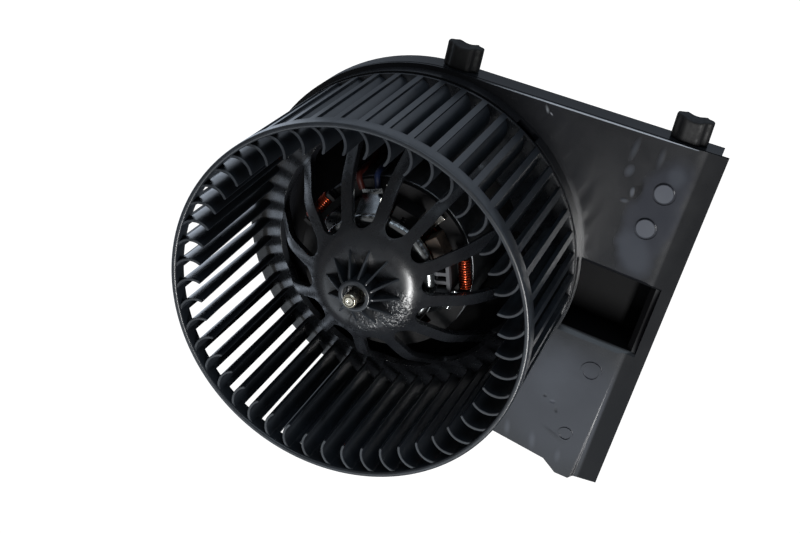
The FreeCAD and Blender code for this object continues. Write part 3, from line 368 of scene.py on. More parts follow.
def plate_patches() -> Tuple[Patch, ...]:
    """Handling marks, dents and sink marks of the base plate, with painted light among them.

    Lighter blotches and the sink marks' light streaks are painted reflections, the near-black inside of the
    motor cup and of the duct pocket is painted shade, and the thin light line along the top edge is a painted
    highlight.

    Returns:
        The patches, lowest layer first.
    """
    # Lighter tint for painted reflections on the plate's face.
    painted_reflection = "#27292f"
    # Pale tint: painted reflections on blotches and sink marks, and small light marks.
    pale = "#33363c"
    # Near-black: painted shade inside the motor cup, and small dark marks.
    painted_shade_and_marks = "#0a0a0b"
    return (
        # Painted reflections: lighter, slightly glossier blotches where the plate's reflections are blotchy.
        Patch((92, -52, 0), (44, 38, 3), painted_reflection, 0.8, rough=-0.04, soft=0.5, warp=6.0),
        Patch((80, -38, 0), (17, 22, 3), pale, 0.6, soft=0.9, warp=8.0),
        Patch((96, 48, 0), (13, 34, 3), painted_reflection, 0.9, rough=-0.04, turn=-6, soft=0.35, warp=9.0),
        Patch((93, 31, 0), (9, 14, 3), pale, 0.8, turn=30.0, soft=0.6, warp=5.0),
        Patch((98, 68, 0), (5, 7, 3), pale, 0.8, soft=0.7, warp=4.0),
        Patch((114, 0, 0), (9.5, 300, 3), "#131416", 1, rough=0.05, shine=-0.26, soft=0.15),
        # Painted shade: the inside of the motor cup, under the wheel, painted near-black.
        Patch((0, 0, -12), (73.5, 73.5, 20), painted_shade_and_marks, 1, rough=0.35, shine=-0.25, soft=0.05),
        # Painted shade: the inside of the duct pocket painted near-black.
        Patch((90, 1.6, -13.5), (80, 60, 12.9), "#050506", 1, rough=0.4, shine=-0.25, soft=0.1),
        # Sink marks: real shallow bumps, tinted lighter as painted reflections.
        Patch((78.5, 73.5, 0), (1.8, 7, 2), pale, 0.6, 0.04, turn=-4, soft=0.95),
        Patch((89.7, 73.5, 0), (1.8, 6.5, 2), pale, 0.5, 0.04, soft=0.95),
        Patch((79.5, 64, 0), (2.4, 3.6, 2), pale, 0.8, turn=-20, soft=0.8, warp=1.5),
        Patch((83.6, 55.8, 0), (1.2, 2.6, 2), "#44474d", 0.9, 0.05, turn=10.0, soft=0.7, warp=1.5),
        Patch((82, 51, 0), (2.2, 1.2, 2), pale, 0.8, 0.05, turn=20.0, soft=0.7, warp=1.5),
        Patch((86, 58, 0), (2.2, 6, 2), painted_shade_and_marks, 0.8, turn=-8, soft=0.8, warp=2.0),
        Patch((39, 76.6, 0), (2.4, 0.9, 2), "#7c8085", 0.5, turn=-50, soft=0.9, warp=3.5),
        Patch((41.5, 75, 0), (1.3, 0.4, 2), "#8d9095", 0.5, turn=-40, soft=0.7, warp=1.5),
        Patch((79.5, -50.4, 0), (1.5, 1.2, 2), painted_shade_and_marks, 0.6, -0.07, soft=0.95),
        Patch((83.6, -51.8, 0), (1.8, 1.3, 2), "#3c3f46", 0.6, -0.07, turn=20.0, soft=0.95),
        Patch((86.5, -55.2, 0), (1.3, 2, 2), painted_shade_and_marks, 0.5, -0.08, turn=20.0, soft=0.95),
        # Sink marks: real shallow bumps, tinted lighter as painted reflections.
        Patch((68.2, -73.6, 0), (2, 6, 3), "#3c3f46", 0.6, 0.08, turn=12.0, soft=0.95),
        Patch((81, -75, 0), (2.2, 6.5, 3), "#3c3f46", 0.6, 0.08, turn=14.0, soft=0.95),
        Patch((94.2, -77.2, 0), (1.9, 5, 3), "#3c3f46", 0.5, 0.08, turn=10.0, soft=0.95),
        Patch((89, -68, 0), (9, 1.8, 3), painted_shade_and_marks, 0.35, 0.06, turn=-20, soft=0.95),
        Patch((96, 59.8, 0.5), (4.1, 4.1, 0.4), "#3d4047", 1, rough=0.1, soft=0.1),
        Patch((94.1, 42.7, 0.5), (4.1, 4.1, 0.4), "#3d4047", 1, rough=0.1, soft=0.1),
        Patch((95.8, 12.1, -6), (0.7, 0.5, 9), "#b9bcc0", 1, soft=0.3),
        # Painted highlight: a thin light line along the plate's top edge.
        Patch((58.2, 80.1, 0), (54, 0.4, 0.5), "#8f959d", 0.8, turn=2.77, soft=0.3),
        Patch((71.1, -24.8, 0), (0.6, 0.5, 2), "#a9acb0", 1, soft=0.4),
    )


# Glass-filled polypropylene, moulded in a polished tool: a soft dark sheen, bluish where it grazes.
WHEEL_PLASTIC = Finish("wheel_polypropylene_moulded", "#15181c", roughness=0.32, roughness_spread=0.04,
                       tone="#1b1f24", tone_size=18.0, wave_size=7.0, wave_height=0.05,
                       speck="#5a5d62", speck_size=1.7, speck_share=0.03)
# The same plastic over the hub, where worn tool polish below the boss breaks the light into glints.
CAP_PLASTIC = Finish("hub_polypropylene_crazed", "#131417", roughness=0.28, roughness_spread=0.04,
                     tone="#17191c", tone_size=12.0, wave_size=8.0, wave_height=0.10,
                     patches=(Patch((15.5, -6.0, 60.0), (11.0, 13.0, 9.0), crackle=0.9, soft=0.7, warp=4.0),
                              Patch((4.0, -15.0, 61.0), (9.0, 7.0, 6.0), crackle=0.7, soft=0.6, warp=3.0)))
# The same plastic in a larger flat moulding: sink marks break up its reflections, and glossier blotches are
# painted lighter as painted reflections.
PLATE_PLASTIC = Finish("plate_polypropylene_moulded", "#111214", roughness=0.24, roughness_spread=0.02,
                       tone="#16171a", tone_size=26.0, tone_low=0.3, tone_high=0.7, specular=0.35,
                       wave_size=16.0, wave_height=0.08,
                       speck="#4a4d52", speck_size=3.2, speck_share=0.02,
                       patches=plate_patches())
# Moulded phenolic card: flat black with hardly any sheen, its terminal frame tinted a lighter grey.
CARD_PLASTIC = Finish("card_phenolic_moulded", "#0a0a0b", roughness=0.6, specular=0.2, tone="#0f0f10",
                      tone_size=8.0,
                      patches=(Patch((26.8, 9.2, 47.0), (7.5, 8.5, 3.5), "#4a4b4e", 1.0, soft=0.2),))
# Moulded EPDM rubber: dull black that catches light only on its rounded edges.
BUFFER_RUBBER = Finish("buffer_epdm_moulded", "#09090a", roughness=0.6, tone="#0e0e0f", tone_size=6.0,
                       wave_size=3.0, wave_height=0.08, specular=0.25)
# The same rubber away from the light: nearly black.
ISOLATOR_RUBBER = Finish("isolator_epdm_moulded", "#0c0c0d", roughness=0.75, specular=0.15, tone="#121213",
                         tone_size=6.0)
# Zinc-plated drawing steel: bright grey and softly cloudy.
CAN_STEEL = Finish("can_zinc_plated_steel_drawn", "#6b6e72", roughness=0.4, metallic=1.0, tone="#7a7d80",
                   tone_size=9.0, roughness_spread=0.05)
# The same plating on pressed strip: paler and sharper in its reflections.
BRACKET_STEEL = Finish("bracket_zinc_plated_steel_pressed", "#aeb2b4", roughness=0.2, metallic=1.0,
                       tone="#bec2c4", tone_size=8.0, roughness_spread=0.05)
# Centreless-ground steel bar: bright and slightly warm.
SHAFT_STEEL = Finish("shaft_steel_ground", "#b5ae9c", roughness=0.24, metallic=1.0, tone="#c2bba9",
                     tone_size=4.0,
                     patches=(Patch((0.0, 0.0, 77.0), (2.4, 2.4, 0.4), "#4e4a40", soft=0.12),
                              Patch((0.0, 0.0, 77.0), (1.8, 1.8, 0.4), "#cfc9b8", soft=0.15),
                              Patch((0.0, 0.0, 77.0), (0.9, 0.9, 0.4), "#efe9d6", height=-0.2, soft=0.6)))
# Drawn spring wire: plain grey metal.
SPRING_STEEL = Finish("spring_steel_drawn", "#84878a", roughness=0.35, metallic=1.0)
# Stacked electrical sheet under a thin varnish: a dull brown-grey.
LAMINATION_STEEL = Finish("lamination_steel_varnished", "#4b4744", roughness=0.45, metallic=0.8,
                          tone="#5a5048")
# Sintered ferrite: dark grey ceramic with a dry face.
FERRITE = Finish("ferrite_sintered", "#121213", roughness=0.6, specular=0.25, tone="#1a1a1c", tone_size=3.0)
# Oil-filled sintered bronze: a dull warm metal.
SINTERED_BRONZE = Finish("bearing_bronze_sintered", "#7a5a33", roughness=0.45, metallic=1.0, tone="#8a6a40")
# Enamelled copper wire: red-brown metal under a clear glossy varnish.
COPPER_WIRE = Finish("choke_copper_wire_enamelled", "#a83c1c", roughness=0.28, metallic=1.0, tone="#bd4c26",
                     tone_size=2.0, coat=0.5, coat_roughness=0.12)
# Turned copper bars: warm metal, browned in soft clouds.
COMMUTATOR_COPPER = Finish("commutator_copper_turned", "#a86a44", roughness=0.32, metallic=1.0,
                           tone="#8c5a3c", tone_size=3.0)
# Tin-plated brass strip: pale and soft-bright.
TINNED_BRASS = Finish("terminal_brass_tinned", "#b4b2ac", roughness=0.22, metallic=1.0, tone="#c6c3ba",
                      tone_size=4.0, roughness_spread=0.05)
# Moulded phenolic block, brown and dusty.
CUTOUT_TAN = Finish("cutout_phenolic_tan", "#2a211a", roughness=0.5, tone="#3a2e24", tone_size=3.0)
# Epoxy-dipped capacitor: dark and glossy.
CAPACITOR_DARK = Finish("capacitor_epoxy_dipped", "#15171b", roughness=0.25, tone="#1b1e23", tone_size=4.0,
                        coat=0.3)
# Pressed carbon with a little metal: dull black.
CARBON = Finish("brush_carbon_pressed", "#1a1a1b", roughness=0.55, metallic=0.2)
# Stamped polyamide sheet: off-white and waxy.
WASHER_PLASTIC = Finish("washer_polyamide_stamped", "#cfc9ba", roughness=0.45)
# Soft PVC insulation with a dull skin; its red and blue are painted very dark as painted shade, for the shade
# of the arms over them.
LEAD_RED = Finish("lead_pvc_red", "#2c0c09", roughness=0.5, specular=0.2, tone="#360f0b", tone_size=5.0)
LEAD_BLUE = Finish("lead_pvc_blue", "#0c1429", roughness=0.5, specular=0.2, tone="#101a35", tone_size=5.0)


def arc_points(before: Vector, corner: Vector, after: Vector, radius: float, steps: int) -> List[Vector]:
    """Points of the arc that rounds one corner of a flat outline.

    Args:
        before: neighbouring corner on one side.
        corner: the corner itself.
        after: neighbouring corner on the other side.
        radius: radius of the arc.
        steps: number of stretches that the arc is divided into.

    Returns:
        The arc's points, ends included.
    """
    if radius <= 0.0:
        return [corner]
    to_before = (before - corner).normalized()
    to_after = (after - corner).normalized()
    half = 0.5 * to_before.angle(to_after)
    reach = radius / math.tan(half)
    centre = corner + (to_before + to_after).normalized() * (radius / math.sin(half))
    start = corner + to_before * reach - centre
    end = corner + to_after * reach - centre
    sweep = math.atan2(start.x * end.y - start.y * end.x, start.dot(end))
    points = []
    for step in range(steps + 1):
        angle = sweep * step / steps
        cosine, sine = math.cos(angle), math.sin(angle)
        points.append(centre + Vector((start.x * cosine - start.y * sine, start.x * sine + start.y * cosine)))
    return points


def rounded(corners: Sequence[Point], steps: int = 6, closed: bool = True) -> List[Vector]:
    """Outline through corners with rounding radii.

    Args:
        corners: two coordinates and a rounding radius for each corner.
        steps: stretches per rounded corner.
        closed: whether the outline returns to its start.

    Returns:
        Points of the outline in order.
    """
    flat = [Vector((u, v)) for u, v, radius in corners]
    points: List[Vector] = []
    for index, (u, v, radius) in enumerate(corners):
        if not closed and index in (0, len(corners) - 1):
            points.append(flat[index])
            continue
        points += arc_points(flat[index - 1], flat[index], flat[(index + 1) % len(flat)], radius, steps)
    return points


def linked(item: Piece) -> Piece:
    """Link an object to the scene and hand it back."""
    bpy.context.scene.collection.objects.link(item)
    return item


def new_piece(name: str, points: Iterable[Sequence[float]], faces: Iterable[Sequence[int]],
              scale: float = MM) -> Piece:
    """Make a mesh object from points and faces.

    Args:
        name: name of the object and its mesh.
        points: corner points.
        faces: corner numbers of each face.
        scale: factor from the points' units to metres.

    Returns:
        The new object, linked to the scene.
    """
    mesh = bpy.data.meshes.new(name)
    mesh.from_pydata([tuple(c * scale for c in p) for p in points], [], [tuple(f) for f in faces])
    mesh.validate()
    return linked(bpy.data.objects.new(name, mesh))


def tidy_mesh(piece: Piece, merge: float = 1e-6) -> None:
    """Merge doubled corners and turn the faces outwards.

    Args:
        piece: mesh object to tidy.
        merge: distance in metres under which corners become one.
    """
    work = bmesh.new()
    work.from_mesh(piece.data)
    bmesh.ops.remove_doubles(work, verts=work.verts, dist=merge)
    bmesh.ops.recalc_face_normals(work, faces=work.faces)
    work.to_mesh(piece.data)
    work.free()


def soften(piece: Piece, angle: float = 35.0) -> None:
    """Shade smooth, with sharp edges past an angle in degrees."""
    piece.data.shade_smooth()
    piece.data.set_sharp_from_angle(angle=math.radians(angle))


def band(first: int, second: int, count: int) -> List[Tuple[int, ...]]:
    """Faces between two closed rows of points, each given by its first point's number."""
    steps = [(index, (index + 1) % count) for index in range(count)]
    return [(first + here, second + here, second + after, first + after) for here, after in steps]


def revolved(name: str, profile: Sequence[Vector], segments: int) -> Piece:
    """Turn a closed profile of radius and height about the wheel's axis.

    Args:
        name: name of the piece.
        profile: points of the section, in millimetres.
        segments: number of stretches round the axis.

    Returns:
        The turned piece.
    """
    points: List[Point] = []
    faces: List[Tuple[int, ...]] = []
    count = len(profile)
    for segment in range(segments):
        angle = TURN * segment / segments
        for p in profile:
            points.append((p.x * math.cos(angle), p.x * math.sin(angle), p.y))
    for segment in range(segments):
        faces += band(segment * count, (segment + 1) % segments * count, count)
    piece = new_piece(name, points, faces)
    tidy_mesh(piece)
    soften(piece)
    return piece


def bevelled(piece: Piece, width_mm: float, segments: int = 2, angle: float = 40.0) -> None:
    """Round the sharp edges of a piece.

    Args:
        piece: mesh object that gets the rounding.
        width_mm: width of the rounding in millimetres.
        segments: number of strips across it.
        angle: angle in degrees past which an edge is rounded.
    """
    bevel = piece.modifiers.new("edge_rounding", "BEVEL")
    bevel.width = width_mm * MM
    bevel.segments = segments
    bevel.limit_method = "ANGLE"
    bevel.angle_limit = math.radians(angle)


def melted(piece: Piece, cell_mm: float) -> None:
    """Round a rubber piece softly all over.

    Args:
        piece: mesh object that gets the rounding.
        cell_mm: size of its even cells in millimetres.
    """
    remesh = piece.modifiers.new("even_cells", "REMESH")
    remesh.mode = "VOXEL"
    remesh.voxel_size = cell_mm * MM
    relax = piece.modifiers.new("relax", "SMOOTH")
    relax.factor = 0.5
    relax.iterations = 8


def baked(piece: Piece, name: str) -> Piece:
    """Turn an object with modifiers into a plain mesh object.

    Args:
        piece: object whose modifiers are applied; it is removed.
        name: name of the result.

    Returns:
        The plain mesh object.
    """
    bpy.context.view_layer.update()
    graph = bpy.context.evaluated_depsgraph_get()
    mesh = bpy.data.meshes.new_from_object(piece.evaluated_get(graph), depsgraph=graph)
    bpy.data.objects.remove(piece)
    mesh.name = name
    return linked(bpy.data.objects.new(name, mesh))


def group_tree(name: str, sockets: Dict[str, str]) -> Tuple[Tree, bpy.types.Node]:
    """Start a geometry node tree with named inputs and one geometry output.

    Args:
        name: name of the tree.
        sockets: kind of each input, by its name.

    Returns:
        The tree and its input node.
    """
    tree = bpy.data.node_groups.new(name, "GeometryNodeTree")
    for label, kind in sockets.items():
        tree.interface.new_socket(label, in_out="INPUT", socket_type="NodeSocket" + kind)
    tree.interface.new_socket("Geometry", in_out="OUTPUT", socket_type="NodeSocketGeometry")
    return tree, add_node(tree, "NodeGroupInput")


def close_tree(tree: Tree, source: bpy.types.Node, geometry: Socket) -> None:
    """End a tree in Realize Instances and Set Material.

    Args:
        tree: the geometry node tree.
        source: its input node, which has a Material output.
        geometry: socket of the shape that is finished.
    """
    plain = add_node(tree, "GeometryNodeRealizeInstances", {"Geometry": geometry})
    dressed = add_node(tree, "GeometryNodeSetMaterial",
                       {"Geometry": plain.outputs["Geometry"], "Material": source.outputs["Material"]})
    add_node(tree, "NodeGroupOutput", {"Geometry": dressed.outputs["Geometry"]})


@cache
def ring_pattern_tree() -> Tree:
    """Tree that repeats a shape evenly about the wheel's axis.

    Returns:
        The geometry node tree, made once.
    """
    tree, source = group_tree("ring_pattern", {
        "Geometry": "Geometry", "Count": "Int", "Phase": "Float", "Material": "Material"})
    spots = add_node(tree, "GeometryNodePoints", {"Count": source.outputs["Count"]})
    number = add_node(tree, "GeometryNodeInputIndex")
    pitch = add_node(tree, "ShaderNodeMath", {0: TURN, 1: source.outputs["Count"]}, operation="DIVIDE")
    turn = add_node(tree, "ShaderNodeMath",
                    {0: number.outputs["Index"], 1: pitch.outputs[0], 2: source.outputs["Phase"]},
                    operation="MULTIPLY_ADD")
    angles = add_node(tree, "ShaderNodeCombineXYZ", {"Z": turn.outputs[0]})
    rotation = add_node(tree, "FunctionNodeEulerToRotation", {"Euler": angles.outputs["Vector"]})
    copies = add_node(tree, "GeometryNodeInstanceOnPoints", {
        "Points": spots.outputs[0],
        "Instance": source.outputs["Geometry"],
        "Rotation": rotation.outputs["Rotation"],
    })
    close_tree(tree, source, copies.outputs["Instances"])
    return tree


@cache
def wound_coil_tree() -> Tree:
    """Tree that winds a round wire into a close coil along Z.

    Returns:
        The geometry node tree, made once.
    """
    tree, source = group_tree("wound_coil", {
        "Geometry": "Geometry", "Turns": "Float", "Length": "Float", "Radius": "Float",
        "Wire Radius": "Float", "Material": "Material"})
    helix = add_node(tree, "GeometryNodeCurveSpiral", {
        "Resolution": 24,
        "Rotations": source.outputs["Turns"],
        "Start Radius": source.outputs["Radius"],
        "End Radius": source.outputs["Radius"],
        "Height": source.outputs["Length"],
    })
    section = add_node(tree, "GeometryNodeCurvePrimitiveCircle",
                       {"Resolution": 10, "Radius": source.outputs["Wire Radius"]})
    wire = add_node(tree, "GeometryNodeCurveToMesh", {
        "Curve": helix.outputs["Curve"],
        "Profile Curve": section.outputs["Curve"],
        "Fill Caps": True,
    })
    close_tree(tree, source, wire.outputs["Mesh"])
    return tree


def grown(piece: Piece, tree: Tree, values: Dict[str, Any], name: str) -> Piece:
    """Run a geometry node tree on a piece and keep the plain result.

    Args:
        piece: object that the tree starts from; it is removed.
        tree: the geometry node tree.
        values: value of each named input.
        name: name of the result.

    Returns:
        The plain mesh object.
    """
    modifier = piece.modifiers.new("grow", "NODES")
    modifier.node_group = tree
    for item in tree.interface.items_tree:
        if item.item_type == "SOCKET" and item.in_out == "INPUT" and item.name in values:
            modifier[item.identifier] = values[item.name]
    return baked(piece, name)


def settle(piece: Piece, body: Body, finish: Finish,
           stands_for: Sequence[str] = ()) -> Piece:
    """Give a finished piece its material, body and the nodes it stands for.

    Args:
        piece: the plain mesh object.
        body: body that it rides on.
        finish: its surface finish.
        stands_for: CAD nodes that it replaces.

    Returns:
        The same piece.
    """
    piece.data.materials.clear()
    piece.data.materials.append(finish.build())
    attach(piece, body.value)
    if stands_for:
        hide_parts(*stands_for)
    log.info("%s: %d faces", piece.name, len(piece.data.polygons))
    return piece


@dataclass
class BlowerWheel:
    """Forward-curved wheel: ring, blades, back disc and slotted dome hub, moulded in one."""

    radius: float = 75.0
    front_z: float = 84.0
    back_z: float = 8.0
    ring_height: float = 7.5
    ring_wall: float = 2.2
    blade_count: int = 48
    blade_phase: float = -0.4
    blade_wall: float = 1.15
    curve_radius: float = 7.65
    curve_centre: Tuple[float, float] = (66.2, 6.6)
    tip_front: float = 62.2
    tip_back: float = 64.2
    land_angles: Tuple[float, float] = (2.53, 4.52)
    land_depth: float = 2.2
    land_outer_turn: float = -0.419
    land_inner_turn: float = -0.407
    blade_inset: float = 1.0
    blade_foot: float = 0.8
    blade_chamfer: float = 0.2
    arm_count: int = 12
    arm_width: float = 5.0
    arm_phase: float = 35.0
    slot_inner: float = 24.0
    slot_neck: float = 28.5
    slot_shoulder: float = 54.0
    slot_outer: float = 56.5
    dome_wall: float = 2.6
    disc_wall: float = 1.6
    wall_change: Tuple[float, float] = (57.0, 65.0)
    dome_smoothing: float = 0.8
    hub_bore: float = 5.0
    boss_radius: float = 6.8
    boss_draft: float = 0.2
    sleeve_bore: float = 3.1
    sleeve_z: float = 54.0
    boss_z: float = 72.0
    recess_radius: float = 4.7
    recess_z: float = 67.0
    cap_z: float = 61.5
    rib_reach: float = 16.5
    rib_wall: float = 1.1
    rib_z: float = 70.5
    rib_root: float = 5.6
    rib_shoulder: Tuple[float, float] = (7.2, 7.8)
    rib_taper: float = 0.75
    dome_corners: Tuple[Point, ...] = (
        (6.0, 61.5, 0.0),
        (20.0, 61.5, 13.0),
        (40.9, 44.2, 34.0),
        (54.9, 19.3, 9.0),
        (63.0, 13.0, 6.0),
        (68.0, 9.6, 4.0),
        (74.9, 9.6, 0.0),
    )

    def build(self) -> None:
        """Build every piece of the wheel and dress it."""
        self.blades()
        self.ring()
        self.hub()
        self.boss()
        self.star()

    def repeated(self, seed: Piece, count: int, phase: float, name: str) -> Piece:
        """Repeat a seed evenly round the axis, from a phase in degrees."""
        values = {"Count": count, "Phase": math.radians(phase), "Material": WHEEL_PLASTIC.build()}
        return grown(seed, ring_pattern_tree(), values, name)

    def finished(self, piece: Piece, finish: Finish = WHEEL_PLASTIC) -> None:
        """Dress one piece of the wheel."""
        settle(piece, Body.ROTOR, finish, ["blower_wheel"])

    def section(self, z: float, inset: float = 0.0) -> List[Vector]:
        """Closed blade section at a height.

        Args:
            z: height of the section, which sets where the drafted tip lies.
            inset: how far the section is drawn in on each side.

        Returns:
            Points of the section, in millimetres, with the tip near the +X axis.
        """
        share = (z - self.back_z) / (self.front_z - self.blade_inset - self.back_z)
        tip = self.tip_back + (self.tip_front - self.tip_back) * share
        centre = Vector(self.curve_centre)
        half = self.blade_wall / 2 - inset
        outer = self.curve_radius + half
        inner = self.curve_radius - half

        def along(radius: float, angle: float, middle: Vector = centre) -> Vector:
            """Point at a radius and angle from a middle."""
            return middle + Vector((math.cos(angle), math.sin(angle))) * radius

        # The tip's angle on the camber arc is found by halving, so that its round end meets the radius.
        low, high = -math.pi, -0.5 * math.pi + 0.6
        for _ in range(40):
            start = 0.5 * (low + high)
            if along(self.curve_radius, start).length > tip + self.blade_wall / 2:
                high = start
            else:
                low = start
        steps = 14
        outline = [along(outer, start + (self.land_outer_turn - start) * i / steps) for i in range(steps + 1)]
        first, last = (math.radians(angle) for angle in self.land_angles)
        first += inset / self.radius
        last -= inset / self.radius
        axis = Vector((0.0, 0.0))
        outline += [along(self.radius - inset, first + (last - first) * i / 3, axis) for i in range(4)]
        low_land = self.radius - self.land_depth
        outline += [along(low_land, last, axis), along(low_land, 0.5 * (first + last), axis)]
        turn = self.land_inner_turn
        outline += [along(inner, turn + (start - turn) * i / steps) for i in range(steps + 1)]
        tip_centre = along(self.curve_radius, start)
        outline += [along(half, start + math.pi + math.pi * i / 6, tip_centre) for i in range(1, 6)]
        return outline

    def blades(self) -> None:
        """Blades: one drafted, curved blade repeated round the wheel."""
        top = self.front_z - self.blade_inset
        cut = self.blade_chamfer
        levels = [(self.back_z + self.blade_foot, 0.0), (0.5 * (self.back_z + top), 0.0),
                  (top - cut, 0.0), (top, cut)]
        points: List[Point] = []
        faces: List[Tuple[int, ...]] = []
        for z, inset in levels:
            points += [(p.x, p.y, z) for p in self.section(z, inset)]
        count = len(points) // len(levels)
        top_row = (len(levels) - 1) * count
        for row in range(0, top_row, count):
            faces += band(row, row + count, count)
        faces.append(tuple(range(count)))
        faces.append(tuple(range(top_row, top_row + count)))
        blade = new_piece("blade_seed", points, faces)
        tidy_mesh(blade)
        soften(blade, 32.0)
        self.finished(self.repeated(blade, self.blade_count, self.blade_phase, "wheel_blades"))

    def ring(self) -> None:
        """Front ring that ties the blades together at the inlet."""
        inner = self.radius - self.ring_wall
        low = self.front_z - self.ring_height
        profile = rounded([(self.radius, low, 0.5), (self.radius, self.front_z, 0.8),
                           (inner, self.front_z, 0.8), (inner, low, 0.5)], 4)
        self.finished(revolved("wheel_ring", profile, 192))

    def slot_half_angle(self, radius: float) -> float:
        """Half the slot's angle, in radians, at a radius in millimetres."""
        return math.pi / self.arm_count - math.asin(0.5 * self.arm_width / radius)

    def stations(self) -> List[Tuple[float, float]]:
        """Radii and half-angles of the hub's material, from the boss to the rim.

        Returns:
            Pairs of a radius and the half-angle of one arm's sector there.
        """
        full = math.pi / self.arm_count
        rows = [(r, full) for r in (6.0, 8.0, 10.0, 12.0, 14.0, 16.0, 18.0, 20.0, 21.5, 23.0)]
        neck_half = self.slot_half_angle(self.slot_neck)
        for step in range(10):
            turn = 0.5 * math.pi * step / 10
            radius = self.slot_inner + (self.slot_neck - self.slot_inner) * (1 - math.cos(turn))
            rows.append((radius, full - neck_half * math.sin(turn)))
        reach = self.slot_neck
        while reach < self.slot_shoulder - 0.5:
            rows.append((reach, full - self.slot_half_angle(reach)))
            reach += 1.5
        shoulder_half = self.slot_half_angle(self.slot_shoulder)
        for step in range(9):
            turn = 0.5 * math.pi * step / 8
            radius = self.slot_shoulder + (self.slot_outer - self.slot_shoulder) * math.sin(turn)
            rows.append((radius, full - shoulder_half * math.cos(turn) ** 0.6))
        rows += [(r, full) for r in (58.0, 60.0, 62.0, 63.5, 65.0, 66.5, 68.0, 70.0, 72.5, 74.0, 74.9)]
        return rows

    def dome_height(self) -> Callable[[float], Tuple[float, Vector]]:
        """Height and outward normal of the dome's outer face by radius.

        Returns:
            A function of the radius in millimetres.
        """
        line = rounded(self.dome_corners, 12, closed=False)

        def at(radius: float) -> Tuple[float, Vector]:
            """Height and normal at one radius."""
            for a, b in zip(line, line[1:]):
                if a.x <= radius <= b.x + 1e-9 and b.x > a.x:
                    share = (radius - a.x) / (b.x - a.x)
                    run = (b - a).normalized()
                    return a.y + (b.y - a.y) * share, Vector((-run.y, run.x))
            return line[-1].y, Vector((0.0, 1.0))

        return at

    def hub(self) -> None:
        """Dome with its arms and slots, running out into the back disc."""
        height = self.dome_height()
        rows = self.stations()
        columns = 10
        top: List[Point] = []
        bottom: List[Point] = []
        first, last = self.dome_corners[0][0], self.dome_corners[-1][0]
        thick, thin = self.wall_change
        for radius, half in rows:
            z, normal = height(radius)
            before = height(max(radius - self.dome_smoothing, first))[1]
            after = height(min(radius + self.dome_smoothing, last))[1]
            normal = (before + normal + after).normalized()
            fade = min(max((radius - thick) / (thin - thick), 0.0), 1.0)
            wall = self.dome_wall + (self.disc_wall - self.dome_wall) * fade
            low_r = max(radius - normal.x * wall, self.hub_bore)
            low_z = max(z - normal.y * wall, self.back_z)
            for column in range(columns + 1):
                angle = -half + 2 * half * column / columns
                top.append((radius * math.cos(angle), radius * math.sin(angle), z))
                bottom.append((low_r * math.cos(angle), low_r * math.sin(angle), low_z))
        width = columns + 1
        offset = len(top)
        faces = []
        for row in range(len(rows) - 1):
            for column in range(columns):
                a = row * width + column
                faces.append((a, a + width, a + width + 1, a + 1))
                faces.append((offset + a + 1, offset + a + width + 1, offset + a + width, offset + a))
        full = math.pi / self.arm_count - 1e-6
        for row in range(len(rows) - 1):
            if rows[row][1] >= full and rows[row + 1][1] >= full:
                continue
            for edge in (0, columns):
                a = row * width + edge
                b = a + width
                faces.append((a, b, offset + b, offset + a))
        for row in (0, len(rows) - 1):
            for column in range(columns):
                a = row * width + column
                faces.append((a, a + 1, offset + a + 1, offset + a))
        sector = new_piece("hub_seed", top + bottom, faces)
        hub = self.repeated(sector, self.arm_count, self.arm_phase, "wheel_hub_raw")
        tidy_mesh(hub, WELD)
        soften(hub, 40.0)
        bevelled(hub, 0.5, 3, 45.0)
        hub = baked(hub, "wheel_hub")
        soften(hub, 60.0)
        self.finished(hub, CAP_PLASTIC)

    def boss(self) -> None:
        """Boss round the shaft's end, with its recess and the sleeve behind it."""
        foot = self.boss_radius - self.boss_draft
        corners = [(self.sleeve_bore, self.sleeve_z, 0.0), (foot, self.sleeve_z, 0.6),
                   (self.boss_radius, self.boss_z, 0.6), (self.recess_radius, self.boss_z, 0.5),
                   (self.recess_radius, self.recess_z, 0.6), (self.sleeve_bore, self.recess_z, 0.0)]
        self.finished(revolved("wheel_boss", rounded(corners, 4), 72))

    def star(self) -> None:
        """Thin webs from the boss down to the cap, one over each arm."""
        half = self.rib_wall / 2
        foot = self.cap_z - 1.0
        inner, outer = self.rib_shoulder
        outline = [(self.rib_root, foot), (self.rib_reach, foot), (self.rib_reach, self.cap_z),
                   (outer, self.rib_z - 0.3), (inner, self.rib_z), (self.rib_root, self.rib_z)]
        count = len(outline)
        points = [(x, side * half * (1.0 if x <= outer else self.rib_taper), z)
                  for side in (-1, 1) for x, z in outline]
        ends = [tuple(range(count)), tuple(range(2 * count - 1, count - 1, -1))]
        rib = new_piece("rib_seed", points, ends + band(0, count, count))
        tidy_mesh(rib)
        bevelled(rib, 0.25, 2, 30.0)
        star = self.repeated(rib, self.arm_count, self.arm_phase, "wheel_star_ribs")
        soften(star, 50.0)
        self.finished(star)


